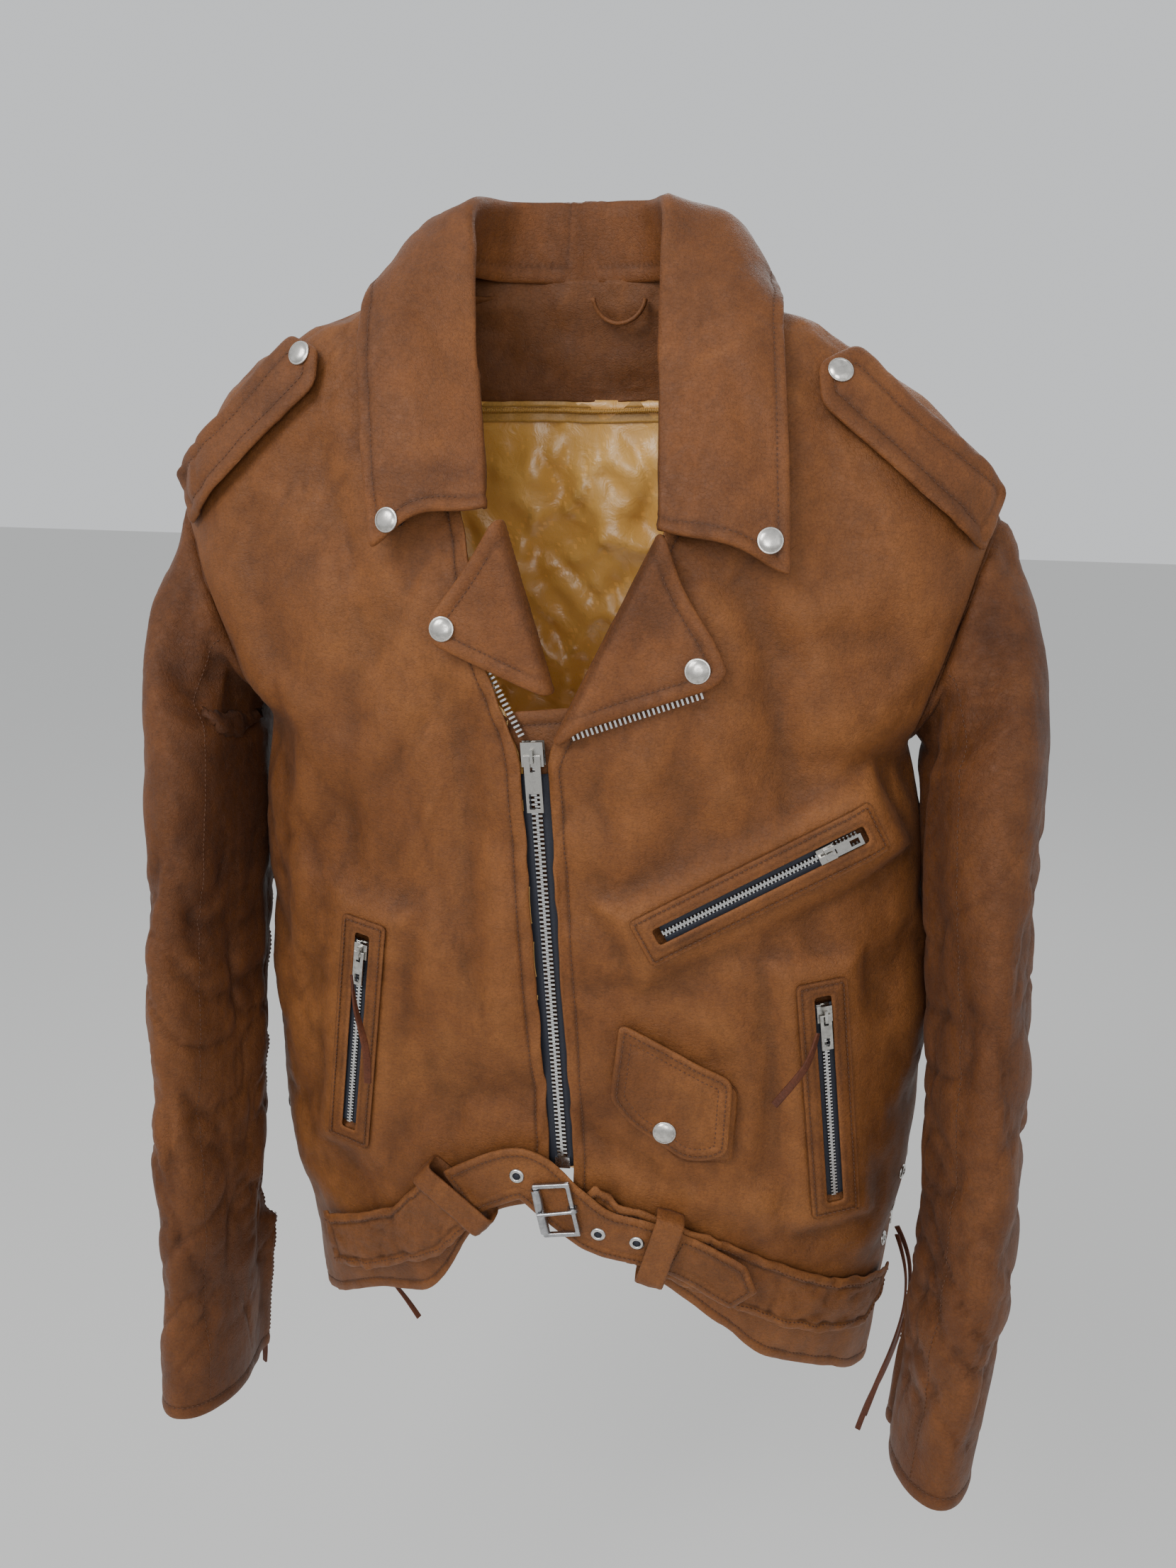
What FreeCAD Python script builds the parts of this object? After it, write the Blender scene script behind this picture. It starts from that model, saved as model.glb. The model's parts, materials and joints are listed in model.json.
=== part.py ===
"""Leather riding jacket with an asymmetric zip, belt, lapels, epaulettes and pockets.

Millimetres, +Z up, the front faces -Y and +X is the wearer's left. The origin is the
middle of the neck base, where a hanger carries the jacket.
"""

import math
import os

import FreeCAD
import Part

V = FreeCAD.Vector

# ---------------------------------------------------------------- leather and lining
LEATHER = 2.0            # panel with its turned edge
TRIM = 2.4               # collar, lapels and straps, two layers sewn together
LINING = 0.8
LINING_INSET = 6.5
LINING_TOP = -40
BAG_INSET = 3.2
FACING_INSET = 9.0

# ---------------------------------------------------------------- body sections
# height: right edge, left edge, front, back
SECTIONS = (
    (-770, -200, 229, -103, 86),
    (-655, -208, 238, -116, 92),
    (-560, -222, 247, -123, 97),
    (-430, -227, 251, -117, 99),
    (-350, -224, 240, -113.5, 99),
    (-300, -221, 232, -111.3, 99),
    (-250, -217, 219, -109, 97),
    (-225, -236, 236, -106, 94),
    (-160, -262, 254, -95, 84),
    (-108, -272, 260, -80, 72),
    (-75, -260, 250, -70, 66),
    (-40, -237, 211, -60, 61),
    (-20, -214, 181, -54, 58),
    (0, -176, 146, -49, 56),
    (16, -132, 108, -44, 54),
    (26, -86, 66, -38, 50),
)
SQUARENESS = 2.6         # exponent of the superellipse sections
SIDE_Y = -8              # side seams and shoulder ridge
SEAM_GAP = 0.95          # degrees between the back and the fronts

# ---------------------------------------------------------------- edges, as (x, z) points
HEM_FRONT = (
    (-215, -735), (-180, -714), (-140, -682), (-92, -664), (-66, -626), (-50, -590),
    (-30, -570), (5, -568), (22, -592), (60, -616), (88, -627), (113, -652),
    (157, -692), (202, -716), (240, -750),
)
HEM_BACK = ((-215, -735), (-120, -690), (10, -676), (140, -700), (240, -750))
ZIP_TOP = V(-11, 0, -250)
ZIP_FOOT = V(11, 0, -527)
ZIP_REVEAL = 8.5         # leather edge to the middle of the chain
NECK_Z = 26
RIGHT_FRONT_EDGE = (
    (-250, -19.5), (-199, -44), (-114, -60), (-60, -76), (-30, -88), (0, -100), (26, -85.5),
)
LEFT_FRONT_EDGE = (
    (-250, -2.5), (-243, 2), (-120, 62), (-60, 77), (-30, 84), (0, 88), (26, 65.5),
)
ARMHOLE_TOP_Z = -108
ARMHOLE_FOOT_Z = -250
ARMHOLE = {-1: (-272, -217), 1: (260, 219)}      # x at the top and at the foot

# ---------------------------------------------------------------- collar and lapels
COLLAR_PEAK = {-1: V(-72, -6, 70), 1: V(49, -6, 69)}
COLLAR_GORGE = {-1: V(-46, -90, -106), 1: V(65, -92, -116)}
COLLAR_START = 0.1       # share of the roll line left to the fixed back fall
ROLL_GAP = 3.0
COLLAR_EDGE = {
    -1: (V(-129, -2, 25), V(-131, -41, 8), V(-127, -60, -22), V(-121, -79, -78),
         V(-111, -92, -126)),
    1: (V(113, -2, 23), V(121, -41, 2), V(128, -60, -30), V(134, -80, -82),
        V(138, -94, -134)),
}
COLLAR_DOME = 11
LAPEL_ROLL = {
    -1: (V(-40, -98, -117), V(-2, -112, -203)),
    1: (V(64, -99, -124), V(5, -114.5, -240)),
}
LAPEL_EDGE = {
    -1: (V(-66, -102, -144), V(-84, -104, -176), V(-80, -104.5, -184)),
    1: (V(84, -101, -150), V(103, -102.5, -190), V(94, -105, -207)),
}
STAND_ROLL = (V(-54, 36, 75), V(-11, 47, 77), V(33, 36, 75))

# ---------------------------------------------------------------- fastenings
SNAP_RADIUS = 7.5
SNAP_HEIGHT = 2.4
EYELET_OUTER = 5.2
EYELET_INNER = 2.8
EYELET_HEIGHT = 1.4
MAIN_ZIP = dict(pitch=3.0, tooth=4.2, thick=3.0, slider=14.0, pull=36.0, pull_width=10.5)
SMALL_ZIP = dict(pitch=2.5, tooth=3.0, thick=2.4, slider=10.0, pull=24.0, pull_width=7.5)
TAPE_THICK = 0.6
SMALL_TAPE_WIDTH = 11.0   # from the middle of the zip to the tape's outer edge
MAIN_TAPE_WIDTH = 16.0
CUFF_TAPE_WIDTH = 7.0
PARTED = 2.4             # half the gap that the slider's divider opens
CHAIN_DEPTH = 2.6        # chain centre below the leather's outer face
OPEN_CHAIN_DEPTH = 4.2   # the same above the slider, where the edge turns back

# ---------------------------------------------------------------- pockets, as (x, z) ends
CHEST_ZIP = ((73, -356), (190, -293))
RIGHT_HAND_ZIP = ((-143, -528), (-126, -385))
LEFT_HAND_ZIP = ((192, -546), (173, -402))
WELT_WIDTH = 34
WELT_OVERRUN = 16
COIN_FLAP = ((48, -421), (122, -457), (120, -514), (92, -514), (43, -475))
COIN_POUCH = ((53, -430), (126, -462), (124, -518), (90, -518), (47, -480))
COIN_CENTRE = (85, -470)

# ---------------------------------------------------------------- belt
BAND_HEIGHT = 48
TONGUE_HEIGHT = 38
BELT_LIFT = 5.0
BAND_LIFT = 2.2
BACK_BELT_LIFT = 1.5
BELT_RIGHT = ((-204, -662), (-187, -654), (-140, -632), (-95, -606), (-66, -570))
BELT_TONGUE = ((-56, -560), (-14, -538), (12, -558), (40, -579), (66, -582), (86, -589))
BELT_TAIL = ((89, -590.2), (112, -600), (136, -612))
BELT_LEFT = (
    (20, -560), (40, -576), (66, -583), (95, -594), (135, -616), (180, -640), (232, -664),
)
BELT_BACK = ((-217, -668), (-120, -640), (10, -632), (140, -645), (239, -664))
BUCKLE_AT = (10, -560)
BUCKLE_SIZE = (26, 42)
BUCKLE_ROD = 3.2

# ---------------------------------------------------------------- sleeves
# centre x, centre y, centre z, half width, half depth, tilt of the ring in degrees
SLEEVE = {
    -1: (
        (-250, -4, -175.5, 70, 46, 67), (-266, -20, -211, 54, 62, 50), (-258, -38, -256, 39, 71, 12),
        (-254, -64, -350, 33, 73, 0), (-255, -88, -450, 31, 72, 0), (-252, -109, -550, 30, 69, 0),
        (-248, -130, -650, 29, 64, 0), (-247, -149, -736, 28, 57, 0),
    ),
    1: (
        (245, -4, -175.5, 70, 46, 67), (264, -20, -211, 54, 62, 50), (266, -36, -256, 41, 72, 12),
        (272, -62, -350, 34, 74, 0), (280, -86, -450, 31, 72, 0), (281, -108, -550, 29, 69, 0),
        (273, -128, -636, 27, 63, 0), (266, -145, -714, 25, 55, 0),
    ),
}
SLEEVE_LEAN = 14         # degrees the lower rings lean forward
CUFF_LINING_SETBACK = 6
SLEEVE_LINING_INSET = 5.0

SIDES = ((-1, "right"), (1, "left"))

# ---------------------------------------------------------------- snaps, straps and small parts
SNAP_GAP = 0.2
COLLAR_SNAP = {-1: (-101, -113), 1: (125, -118)}
LAPEL_SNAP = {-1: (-66, -174), 1: (88, -192)}
COIN_SNAP = (80, -495)
EPAULETTE = {
    -1: (((-246, -116), (-156, -34)), ((-262, -90), (-176, -4))),
    1: (((240, -118), (145, -42)), ((252, -88), (160, -8))),
}
EPAULETTE_SNAP = {-1: (-170, -20), 1: (157, -28)}
EPAULETTE_LIFT = 5.4
LAPEL_CHAIN_SETBACK = 2.6
POCKET_CHAIN_LIFT = 3.0
POCKETS = (
    ("chest_pocket", CHEST_ZIP, 0.82, True),
    ("right_pocket", RIGHT_HAND_ZIP, 0.94, False),
    ("left_pocket", LEFT_HAND_ZIP, 0.94, False),
)
BUCKLE_TURN = -0.2
BUCKLE_LIFT = 11.4
TONGUE_EYELETS = ((-18, -540), (38, -577), (64, -581))
LACE_EYELET_ANGLES = (3, 14, 166, 177)
LACE_EYELET_HEIGHTS = (-560, -590, -620)
LACE_EYELET_LIFT = 1.5
CUFF_CHAIN_LIFT = 3.4
CUFF_ZIP_LENGTH = 82
CUFF_SLIDER_AT = 12

# ---------------------------------------------------------------- cords, as points and radius
CORDS = {
    "right_pull_tie": (
        ((-127, -132, -400), (-125, -136, -418), (-120, -137, -438), (-117, -137, -458),
         (-118, -137, -476)), 1.8),
    "left_pull_tie": (
        ((173, -117, -417), (170, -124, -432), (160, -131, -446), (149, -134, -461)), 1.8),
    "right_cuff_tie": (
        ((-247, -79, -741), (-245, -76, -756), (-242, -77, -772), (-243, -79, -787)), 1.8),
    "left_side_lace": (
        ((247, -14, -632), (257, -18, -648), (261, -22, -680), (257, -27, -715),
         (248, -32, -748), (237, -36, -778), (231, -38, -806)), 2.0),
    "left_side_lace_end": (
        ((246, -26, -630), (254, -34, -648), (256, -38, -682), (250, -42, -718),
         (241, -44, -752), (234, -45, -784)), 2.0),
    "right_side_lace": (
        ((-160, -40, -690), (-154, -42, -706), (-144, -44, -722), (-131, -45, -738),
         (-122, -46, -752)), 2.0),
}


# ================================================================= surface of the body
def between(table, key, column):
    """Linear value of a column of a sorted table at key."""
    for low, high in zip(table, table[1:]):
        if key <= high[0]:
            share = (key - low[0]) / (high[0] - low[0])
            return low[column] + share * (high[column] - low[column])
    return table[-1][column]


def section(z):
    """Centre x, half width, front y and back y at one height."""
    right, left, front, back = (between(SECTIONS, z, column) for column in (1, 2, 3, 4))
    return (left + right) / 2, (left - right) / 2, front, back


def body_point(theta, z, inset=0.0):
    """Point of the body, where theta runs 0 at the left side, 90 at the front, 180 at the right
    side and 270 at the back."""
    centre, half, front, back = section(z)
    cosine = math.cos(math.radians(theta))
    sine = math.sin(math.radians(theta))
    depth = SIDE_Y - front if sine > 0 else back - SIDE_Y
    x = centre + (half - inset) * math.copysign(abs(cosine) ** (2 / SQUARENESS), cosine)
    y = SIDE_Y - (depth - inset) * math.copysign(abs(sine) ** (2 / SQUARENESS), sine)
    return V(x, y, z)


def theta_at(x, z):
    """Angle of the front of the body above one x."""
    centre, half, _, _ = section(z)
    share = max(-1.0, min(1.0, (x - centre) / half))
    cosine = math.copysign(abs(share) ** (SQUARENESS / 2), share)
    return math.degrees(math.acos(cosine))


def front_y(x, z):
    return body_point(theta_at(x, z), z).y


def front_normal(x, z):
    """Outward normal of the front of the body."""
    theta = theta_at(x, z)
    across = body_point(theta - 3, z) - body_point(theta + 3, z)
    up = body_point(theta, z + 2) - body_point(theta, z - 2)
    return across.cross(up).normalize()


def on_front(x, z, lift=0.0):
    """Point standing off the front of the body."""
    return V(x, front_y(x, z), z) + front_normal(x, z) * lift


# ================================================================= solids
def row_edge(points, smooth):
    """One edge of a sheet's row."""
    if len(points) == 2 or not smooth:
        return Part.makePolygon(points)
    curve = Part.BSplineCurve()
    curve.interpolate(points)
    return Part.Wire([curve.toShape()])


def grid_normal(rows, i, j):
    """Normal of a grid of points, by its neighbours."""
    last_row = len(rows) - 1
    last_point = len(rows[i]) - 1
    along = rows[min(i + 1, last_row)][j] - rows[max(i - 1, 0)][j]
    across = rows[i][min(j + 1, last_point)] - rows[i][max(j - 1, 0)]
    normal = across.cross(along)
    return normal.normalize()


def solid_of(faces):
    """Closed solid of faces that meet edge to edge."""
    shape = Part.makeCompound(faces)
    shape.sewShape()
    solid = Part.makeSolid(shape.Shells[0])
    if solid.Volume < 0:
        solid.reverse()
    return solid


def sheet(rows, thickness, smooth=True):
    """Solid sheet of even thickness whose first face runs through rows of points. A positive
    thickness goes along (across x along)."""
    lifted = [
        [point + grid_normal(rows, i, j) * thickness for j, point in enumerate(row)]
        for i, row in enumerate(rows)
    ]
    base = [row_edge(row, smooth) for row in rows]
    top = [row_edge(row, smooth) for row in lifted]
    faces = []
    for i in range(len(rows) - 1):
        faces += ruled(base[i], base[i + 1])
        faces += ruled(top[i], top[i + 1])
        for j in (0, -1):
            low = Part.makePolygon([rows[i][j], rows[i + 1][j]])
            high = Part.makePolygon([lifted[i][j], lifted[i + 1][j]])
            faces += ruled(low, high)
    for i in (0, -1):
        faces += ruled(base[i], top[i])
    return solid_of(faces)


def ruled(first, second):
    """Ruled faces between two wires of as many edges."""
    return [Part.makeRuledSurface(a, b) for a, b in zip(first.Edges, second.Edges)]


def box(x0, x1, y0, y1, z0, z1):
    return Part.makeBox(x1 - x0, y1 - y0, z1 - z0, V(x0, y0, z0))


def placed(shape, origin, up, out):
    """Put a shape whose +Y is up and whose +Z is out at a place on the jacket."""
    z_axis = V(out).normalize()
    x_axis = V(up).cross(z_axis).normalize()
    y_axis = z_axis.cross(x_axis)
    matrix = FreeCAD.Matrix(
        x_axis.x, y_axis.x, z_axis.x, origin.x,
        x_axis.y, y_axis.y, z_axis.y, origin.y,
        x_axis.z, y_axis.z, z_axis.z, origin.z,
    )
    result = shape.copy()
    result.Placement = FreeCAD.Placement(matrix)
    return result


def plate(points, normal, thickness):
    """Flat plate on a polygon of points."""
    face = Part.Face(Part.makePolygon(list(points) + [points[0]]))
    return face.extrude(V(normal).normalize() * thickness)


def spread(first, last, count):
    return [first + (last - first) * i / (count - 1) for i in range(count)]


# ================================================================= body panels
def front_edge(side, z):
    """x of the front edge of one front panel."""
    edge = RIGHT_FRONT_EDGE if side < 0 else LEFT_FRONT_EDGE
    if z < edge[0][0]:
        share = (z - ZIP_TOP.z) / (ZIP_FOOT.z - ZIP_TOP.z)
        return ZIP_TOP.x + share * (ZIP_FOOT.x - ZIP_TOP.x) + side * ZIP_REVEAL
    return between(edge, z, 1)


def side_theta(side, z, back):
    """Angle of the side seam, or of the armhole where the sleeve is sewn in."""
    turned = 0.0
    if ARMHOLE_FOOT_Z < z < ARMHOLE_TOP_Z:
        share = (z - ARMHOLE_FOOT_Z) / (ARMHOLE_TOP_Z - ARMHOLE_FOOT_Z)
        top, foot = ARMHOLE[side]
        x = foot + share * (top - foot)
        theta = theta_at(x, z)
        turned = 180 - theta if side < 0 else theta
    if back:
        turned += SEAM_GAP
    angle = 180 - turned if side < 0 else turned
    return -angle if back else angle


HEIGHTS = (-520, -430, -350, -300, -250, -243, -225, -190, -160, -130, -115, -108, -75, -40, -20,
           0, 16, NECK_Z)
HEM_STEPS = 9
HEM_LIFTS = (0.0, 0.4, 0.75, 1.0)


def hem_z(x, back):
    return between(HEM_BACK if back else HEM_FRONT, x, 1)


def front_panel(side, inset, thickness, top=NECK_Z):
    """Front panel from the side seam and armhole to the zip, lapel and neck edge, up to a top."""
    columns = spread(0.0, 1.0, HEM_STEPS)
    rows = []
    for lift in HEM_LIFTS:
        row = []
        for share in columns:
            z = -600.0
            for _ in range(6):
                start = theta_at(front_edge(side, max(z, HEIGHTS[0])), z)
                theta = start + share * (side_theta(side, z, False) - start)
                foot = hem_z(body_point(theta, z).x, False)
                z = foot + lift * (HEIGHTS[0] - foot)
            row.append(body_point(theta, z, inset))
        rows.append(row)
    for z in HEIGHTS[1:]:
        if z > top:
            break
        start = theta_at(front_edge(side, z), z)
        end = side_theta(side, z, False)
        rows.append([body_point(start + share * (end - start), z, inset) for share in columns])
    return sheet(rows, -side * thickness)


def back_panel(inset, thickness, top=NECK_Z):
    """Back from side seam to side seam, with both armholes, up to a top."""
    columns = spread(0.0, 1.0, 2 * HEM_STEPS - 1)
    rows = []
    for lift in HEM_LIFTS:
        row = []
        for share in columns:
            z = -650.0
            theta = -180 + SEAM_GAP + (180 - 2 * SEAM_GAP) * share
            for _ in range(6):
                foot = hem_z(body_point(theta, z).x, True)
                z = foot + lift * (HEIGHTS[0] - foot)
            row.append(body_point(theta, z, inset))
        rows.append(row)
    for z in HEIGHTS[1:]:
        if z > top:
            break
        start = side_theta(-1, z, True)
        end = side_theta(1, z, True)
        rows.append([body_point(start + share * (end - start), z, inset) for share in columns])
    return sheet(rows, thickness)


def front_patch(x_range, z_range, inset, thickness, count=5):
    """Piece lying along the inside of the front."""
    rows = []
    for z in spread(*z_range, 3):
        thetas = [theta_at(x, z) for x in spread(*x_range, count)]
        rows.append([body_point(theta, z, inset) for theta in thetas])
    return sheet(rows, -thickness)


def back_band(thetas, z_range, inset, thickness):
    """Piece lying along the inside of the back."""
    rows = []
    for z in spread(*z_range, 3):
        rows.append([body_point(theta, z, inset) for theta in spread(*thetas, 9)])
    return sheet(rows, thickness)


# ================================================================= collar and lapels
def collar_leaf(side):
    """Wing of the collar, which folds about its straight roll line."""
    peak = COLLAR_PEAK[side]
    roll = COLLAR_GORGE[side] - peak
    edges = COLLAR_EDGE[side]
    rows = []
    for index, edge in enumerate(edges):
        share = max(COLLAR_START, index / (len(edges) - 1))
        start = peak + roll * share
        out = V(edge - start).normalize()
        hinge = start + out * ROLL_GAP
        middle = (hinge + edge) / 2
        bulge = V(side * 0.5, -0.5, 0.6) * COLLAR_DOME * (1 - 0.6 * index / (len(edges) - 1))
        rows.append([hinge, middle + bulge, edge])
    return sheet(rows, -side * TRIM)


def collar_stand():
    """Stand round the neck, with the fall behind the neck, from one side peak to the other."""
    seam = [V(-84, -8, 28), V(-64, 36, 28), V(-10, 50, 28), V(44, 36, 28), V(64, -8, 28)]
    top = [COLLAR_PEAK[-1], *STAND_ROLL, COLLAR_PEAK[1]]
    inward = [V(3, 0, -3), V(2, -3, -3), V(0, -4, -3), V(-2, -3, -3), V(-3, 0, -3)]
    stand = sheet([seam, [point + step for point, step in zip(top, inward)]], -1.6)
    fall_edge = [V(-131, 8, 28), V(-92, 78, 12), V(-11, 88, 4), V(72, 78, 10), V(115, 8, 26)]
    rise = [V(-1, 6, 3), V(-1, 3, 3), V(0, 4, 3), V(1, 3, 3), V(1, 6, 3)]
    roll = [point + step for point, step in zip(top, rise)]
    middle = [(a + b) / 2 + V(0, 6, 12) for a, b in zip(roll, fall_edge)]
    middle[0] += V(-8, -4, 0)
    middle[-1] += V(8, -4, 0)
    fall = sheet([roll, middle, fall_edge], TRIM)
    return Part.makeCompound([stand, fall])


def lapel(side):
    """Lapel, folded back about its straight roll line."""
    top, foot = LAPEL_ROLL[side]
    points = [top, *LAPEL_EDGE[side], foot]
    out = V(side, 0, 0) * ROLL_GAP
    points[0] = top + out
    points[-1] = foot + out + V(0, 0, 6)
    base = [points[0], (points[0] + points[4]) / 2, points[4]]
    return sheet([base, points[1:4]], side * TRIM, smooth=False)


# ================================================================= fastenings
def snap_cap():
    """Snap cap, domed, standing on z = 0."""
    cap = Part.makeCylinder(SNAP_RADIUS, SNAP_HEIGHT)
    rim = [edge for edge in cap.Edges if abs(edge.BoundBox.ZMin - SNAP_HEIGHT) < 1e-6]
    return cap.makeFillet(SNAP_HEIGHT * 0.6, rim)


def snap_stud():
    """Lower half of a snap: a flange with its stud."""
    return Part.makeCylinder(4.6, 0.8).fuse(Part.makeCylinder(2.2, 2.2))


def eyelet():
    return Part.makeCylinder(EYELET_OUTER, EYELET_HEIGHT).cut(
        Part.makeCylinder(EYELET_INNER, EYELET_HEIGHT)
    )


def zip_row(length, size, side, start=0.0, parted=0.0):
    """One side's row of teeth, along +Y from y = start, moved out from the middle where the
    zip is open."""
    teeth = []
    offset = 0.0 if side < 0 else size["pitch"] / 2
    width = size["tooth"]
    for index in range(int((length - offset) / size["pitch"])):
        y = start + offset + index * size["pitch"]
        inner = side * (parted - 0.8)
        x_range = sorted((inner, inner + side * width))
        teeth.append(box(*x_range, y, y + size["pitch"] * 0.42, -size["thick"] / 2,
                         size["thick"] / 2))
    return teeth


def zip_chain(length, size):
    return Part.makeCompound(zip_row(length, size, -1) + zip_row(length, size, 1))


def worn_chain(length, size, slider_at):
    """Chain closed from y = 0 up to its slider and open beyond it."""
    rest = length - slider_at - 1
    teeth = []
    for side, _ in SIDES:
        teeth += zip_row(slider_at - 1, size, side)
        teeth += zip_row(rest, size, side, slider_at + 1, PARTED)
    return Part.makeCompound(teeth)


def zip_slider(size):
    """Slider: two plates on a divider, with a bail for the puller. Its mouth points +Y."""
    half = size["slider"] / 2
    low = size["thick"] / 2 + 0.5
    high = low + 1.2
    plates = box(-half, half, -half, half * 1.2, low, high)
    plates = plates.fuse(box(-half, half, -half, half * 1.2, -high, -low))
    divider = box(-1.4, 1.4, half * 0.5, half * 1.1, -low, low)
    bail = box(-1, 1, -4.4, 4.4, high, high + 3.2).cut(box(-1, 1, -3.2, 3.2, high, high + 2.2))
    return plates.fuse(divider).fuse(bail).removeSplitter()


def pull_axis_height(size):
    """Height of the puller's pivot over the chain's middle."""
    return size["thick"] / 2 + 0.5 + 1.2 + 1.1


def zip_puller(size):
    """Puller hanging along -Y from its cross bar on the X axis."""
    half = size["pull_width"] / 2
    length = size["pull"]
    blade = box(-half, half, -length, 0.3, -0.7, 0.7)
    blade = blade.cut(box(-1.6, 1.6, -length * 0.28, 2.0, -1, 1))
    blade = blade.cut(box(-half + 1.8, half - 1.8, -length + 2.2, -length * 0.66, -1, 1))
    bar = Part.makeCylinder(0.7, 2 * half, V(-half, 0, 0), V(1, 0, 0))
    return blade.fuse(bar).removeSplitter()


def zip_tape(length, size, width=SMALL_TAPE_WIDTH, start=0.0, parted=0.0):
    """Both tapes along +Y from y = start, moved out from the middle where the zip is open."""
    inner = size["tooth"] - 0.2 + parted
    half = TAPE_THICK / 2
    right = box(-width, -inner, start, start + length, -half, half)
    return [right, box(inner, width, start, start + length, -half, half)]


def worn_tape(length, size, slider_at, width=SMALL_TAPE_WIDTH):
    """Both tapes of a zip that is closed up to its slider and open beyond it."""
    closed = zip_tape(slider_at, size, width)
    return closed + zip_tape(length - slider_at, size, width, slider_at, PARTED)


# ================================================================= pockets
def zip_place(ends):
    """Foot, direction, outward normal and length of a zip let into the front."""
    (x0, z0), (x1, z1) = ends
    middle = ((x0 + x1) / 2, (z0 + z1) / 2)
    normal = front_normal(*middle)
    centre = on_front(*middle, 0.6)
    span = V(x1 - x0, 0, z1 - z0)
    along = span - normal * span.dot(normal)
    length = span.Length / V(along).normalize().dot(V(span).normalize())
    along.normalize()
    return centre - along * length / 2, along, normal, length


def welt(length):
    """Stitched frame round a zip, open over the chain."""
    half = WELT_WIDTH / 2
    frame = box(-half, half, -WELT_OVERRUN, length + WELT_OVERRUN, 0, 1.2)
    return frame.cut(box(-6.4, 6.4, -2, length + 2, -1, 2))


def coin_plate(outline, low, high):
    """Plate of the coin pocket, standing off the front between two heights."""
    normal = front_normal(*COIN_CENTRE)
    centre = on_front(*COIN_CENTRE)
    points = []
    for x, z in outline:
        drop = (centre - V(x, centre.y, z)).dot(normal)
        points.append(V(x, centre.y + drop / normal.y, z) + normal * low)
    return plate(points, normal, high - low)


# ================================================================= belt
def strap(points, height, lift, thickness=TRIM, tip=0.0):
    """Strap lying on the front, as high as given, through (x, z) points."""
    stations = []
    for (x0, z0), (x1, z1) in zip(points, points[1:]):
        stations += [(x0 + (x1 - x0) * step / 3, z0 + (z1 - z0) * step / 3) for step in range(3)]
    stations.append(points[-1])
    rows = [[], [], []]
    for index, (x, z) in enumerate(stations):
        before = stations[max(index - 1, 0)]
        after = stations[min(index + 1, len(stations) - 1)]
        run = V(after[0] - before[0], 0, after[1] - before[1]).normalize()
        for row, share in zip(rows, (-0.5, 0.0, 0.5)):
            spot = V(x, 0, z) + V(-run.z, 0, run.x) * height * share
            spot -= run * tip * (share + 0.5) * index / (len(stations) - 1)
            row.append(on_front(spot.x, spot.z, lift))
    return sheet(rows, thickness)


def back_strap(points, height, lift, thickness=TRIM):
    rows = []
    for shift in (-height / 2, height / 2):
        row = []
        for theta in spread(-176.0, -4.0, 13):
            z = between(points, body_point(theta, -650).x, 1) + shift
            row.append(body_point(theta, z, -lift))
        rows.append(row)
    return sheet(rows, -thickness)


def loop_round(x, z, turn, height, depth, lift):
    """Loop of leather, open along the strap, standing on the front."""
    run = V(math.cos(turn), 0, math.sin(turn))
    normal = front_normal(x, z)
    outer = box(-10, 10, -height / 2 - 3, height / 2 + 3, 0, depth + 2.2)
    inner = box(-10, 10, -height / 2 - 1, height / 2 + 1, 1.0, depth + 0.8)
    return placed(outer.cut(inner), on_front(x, z, lift), normal.cross(run), normal)


# ================================================================= sleeves
def sleeve_ring(side, ring, inset, points=16, shift=0.0):
    """Closed ring of one sleeve section, moved along the sleeve by shift."""
    x, y, z, half_width, half_depth, tilt = ring
    lean = math.radians(0 if tilt > 15 else SLEEVE_LEAN)
    tilted = math.radians(tilt)
    across = V(side * math.cos(tilted), 0, math.sin(tilted))
    deep = V(0, math.cos(lean), -math.sin(lean))
    along = across.cross(deep).normalize()
    if along.z > 0:
        along = -along
    ring_points = []
    for index in range(points):
        angle = 2 * math.pi * index / points
        ring_points.append(
            V(x, y, z) + along * shift
            + across * (half_width - inset) * math.cos(angle)
            + deep * (half_depth - inset) * math.sin(angle)
        )
    curve = Part.BSplineCurve()
    curve.interpolate(ring_points, PeriodicFlag=True)
    return Part.Wire([curve.toShape()])


def tube(side, rings, inset, thickness):
    """Open tube through the sleeve rings."""
    outer = Part.makeLoft([sleeve_ring(side, ring, inset) for ring in rings], True, True)
    shifts = [-1.0] + [0.0] * (len(rings) - 2) + [1.0]
    inner = Part.makeLoft(
        [sleeve_ring(side, ring, inset + thickness, shift=step) for ring, step in
         zip(rings, shifts)], True, True)
    return outer.cut(inner)


def cord(points, radius):
    """Round cord of straight runs and tangent arcs, with its length and tightest radius."""
    edges = []
    start = points[0]
    tightest = math.inf
    for before, corner, after in zip(points, points[1:], points[2:]):
        run = corner - before
        leave = after - corner
        turn = run.getAngle(leave)
        reach = 0.45 * min(run.Length, leave.Length)
        bend = reach / math.tan(turn / 2)
        tightest = min(tightest, bend)
        run.normalize()
        leave.normalize()
        arc_in = corner - run * reach
        arc_out = corner + leave * reach
        inward = (leave - run).normalize()
        crown = corner + inward * (math.hypot(reach, bend) - bend)
        edges.append(Part.LineSegment(start, arc_in).toShape())
        edges.append(Part.Arc(arc_in, crown, arc_out).toShape())
        start = arc_out
    edges.append(Part.LineSegment(start, points[-1]).toShape())
    path = Part.Wire(edges)
    circle = Part.makeCircle(radius, points[0], points[1] - points[0])
    tube_solid = path.makePipeShell([Part.Wire([circle])], True, True)
    return tube_solid, path.Length, tightest


# ================================================================= the jacket
nodes = {}


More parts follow.
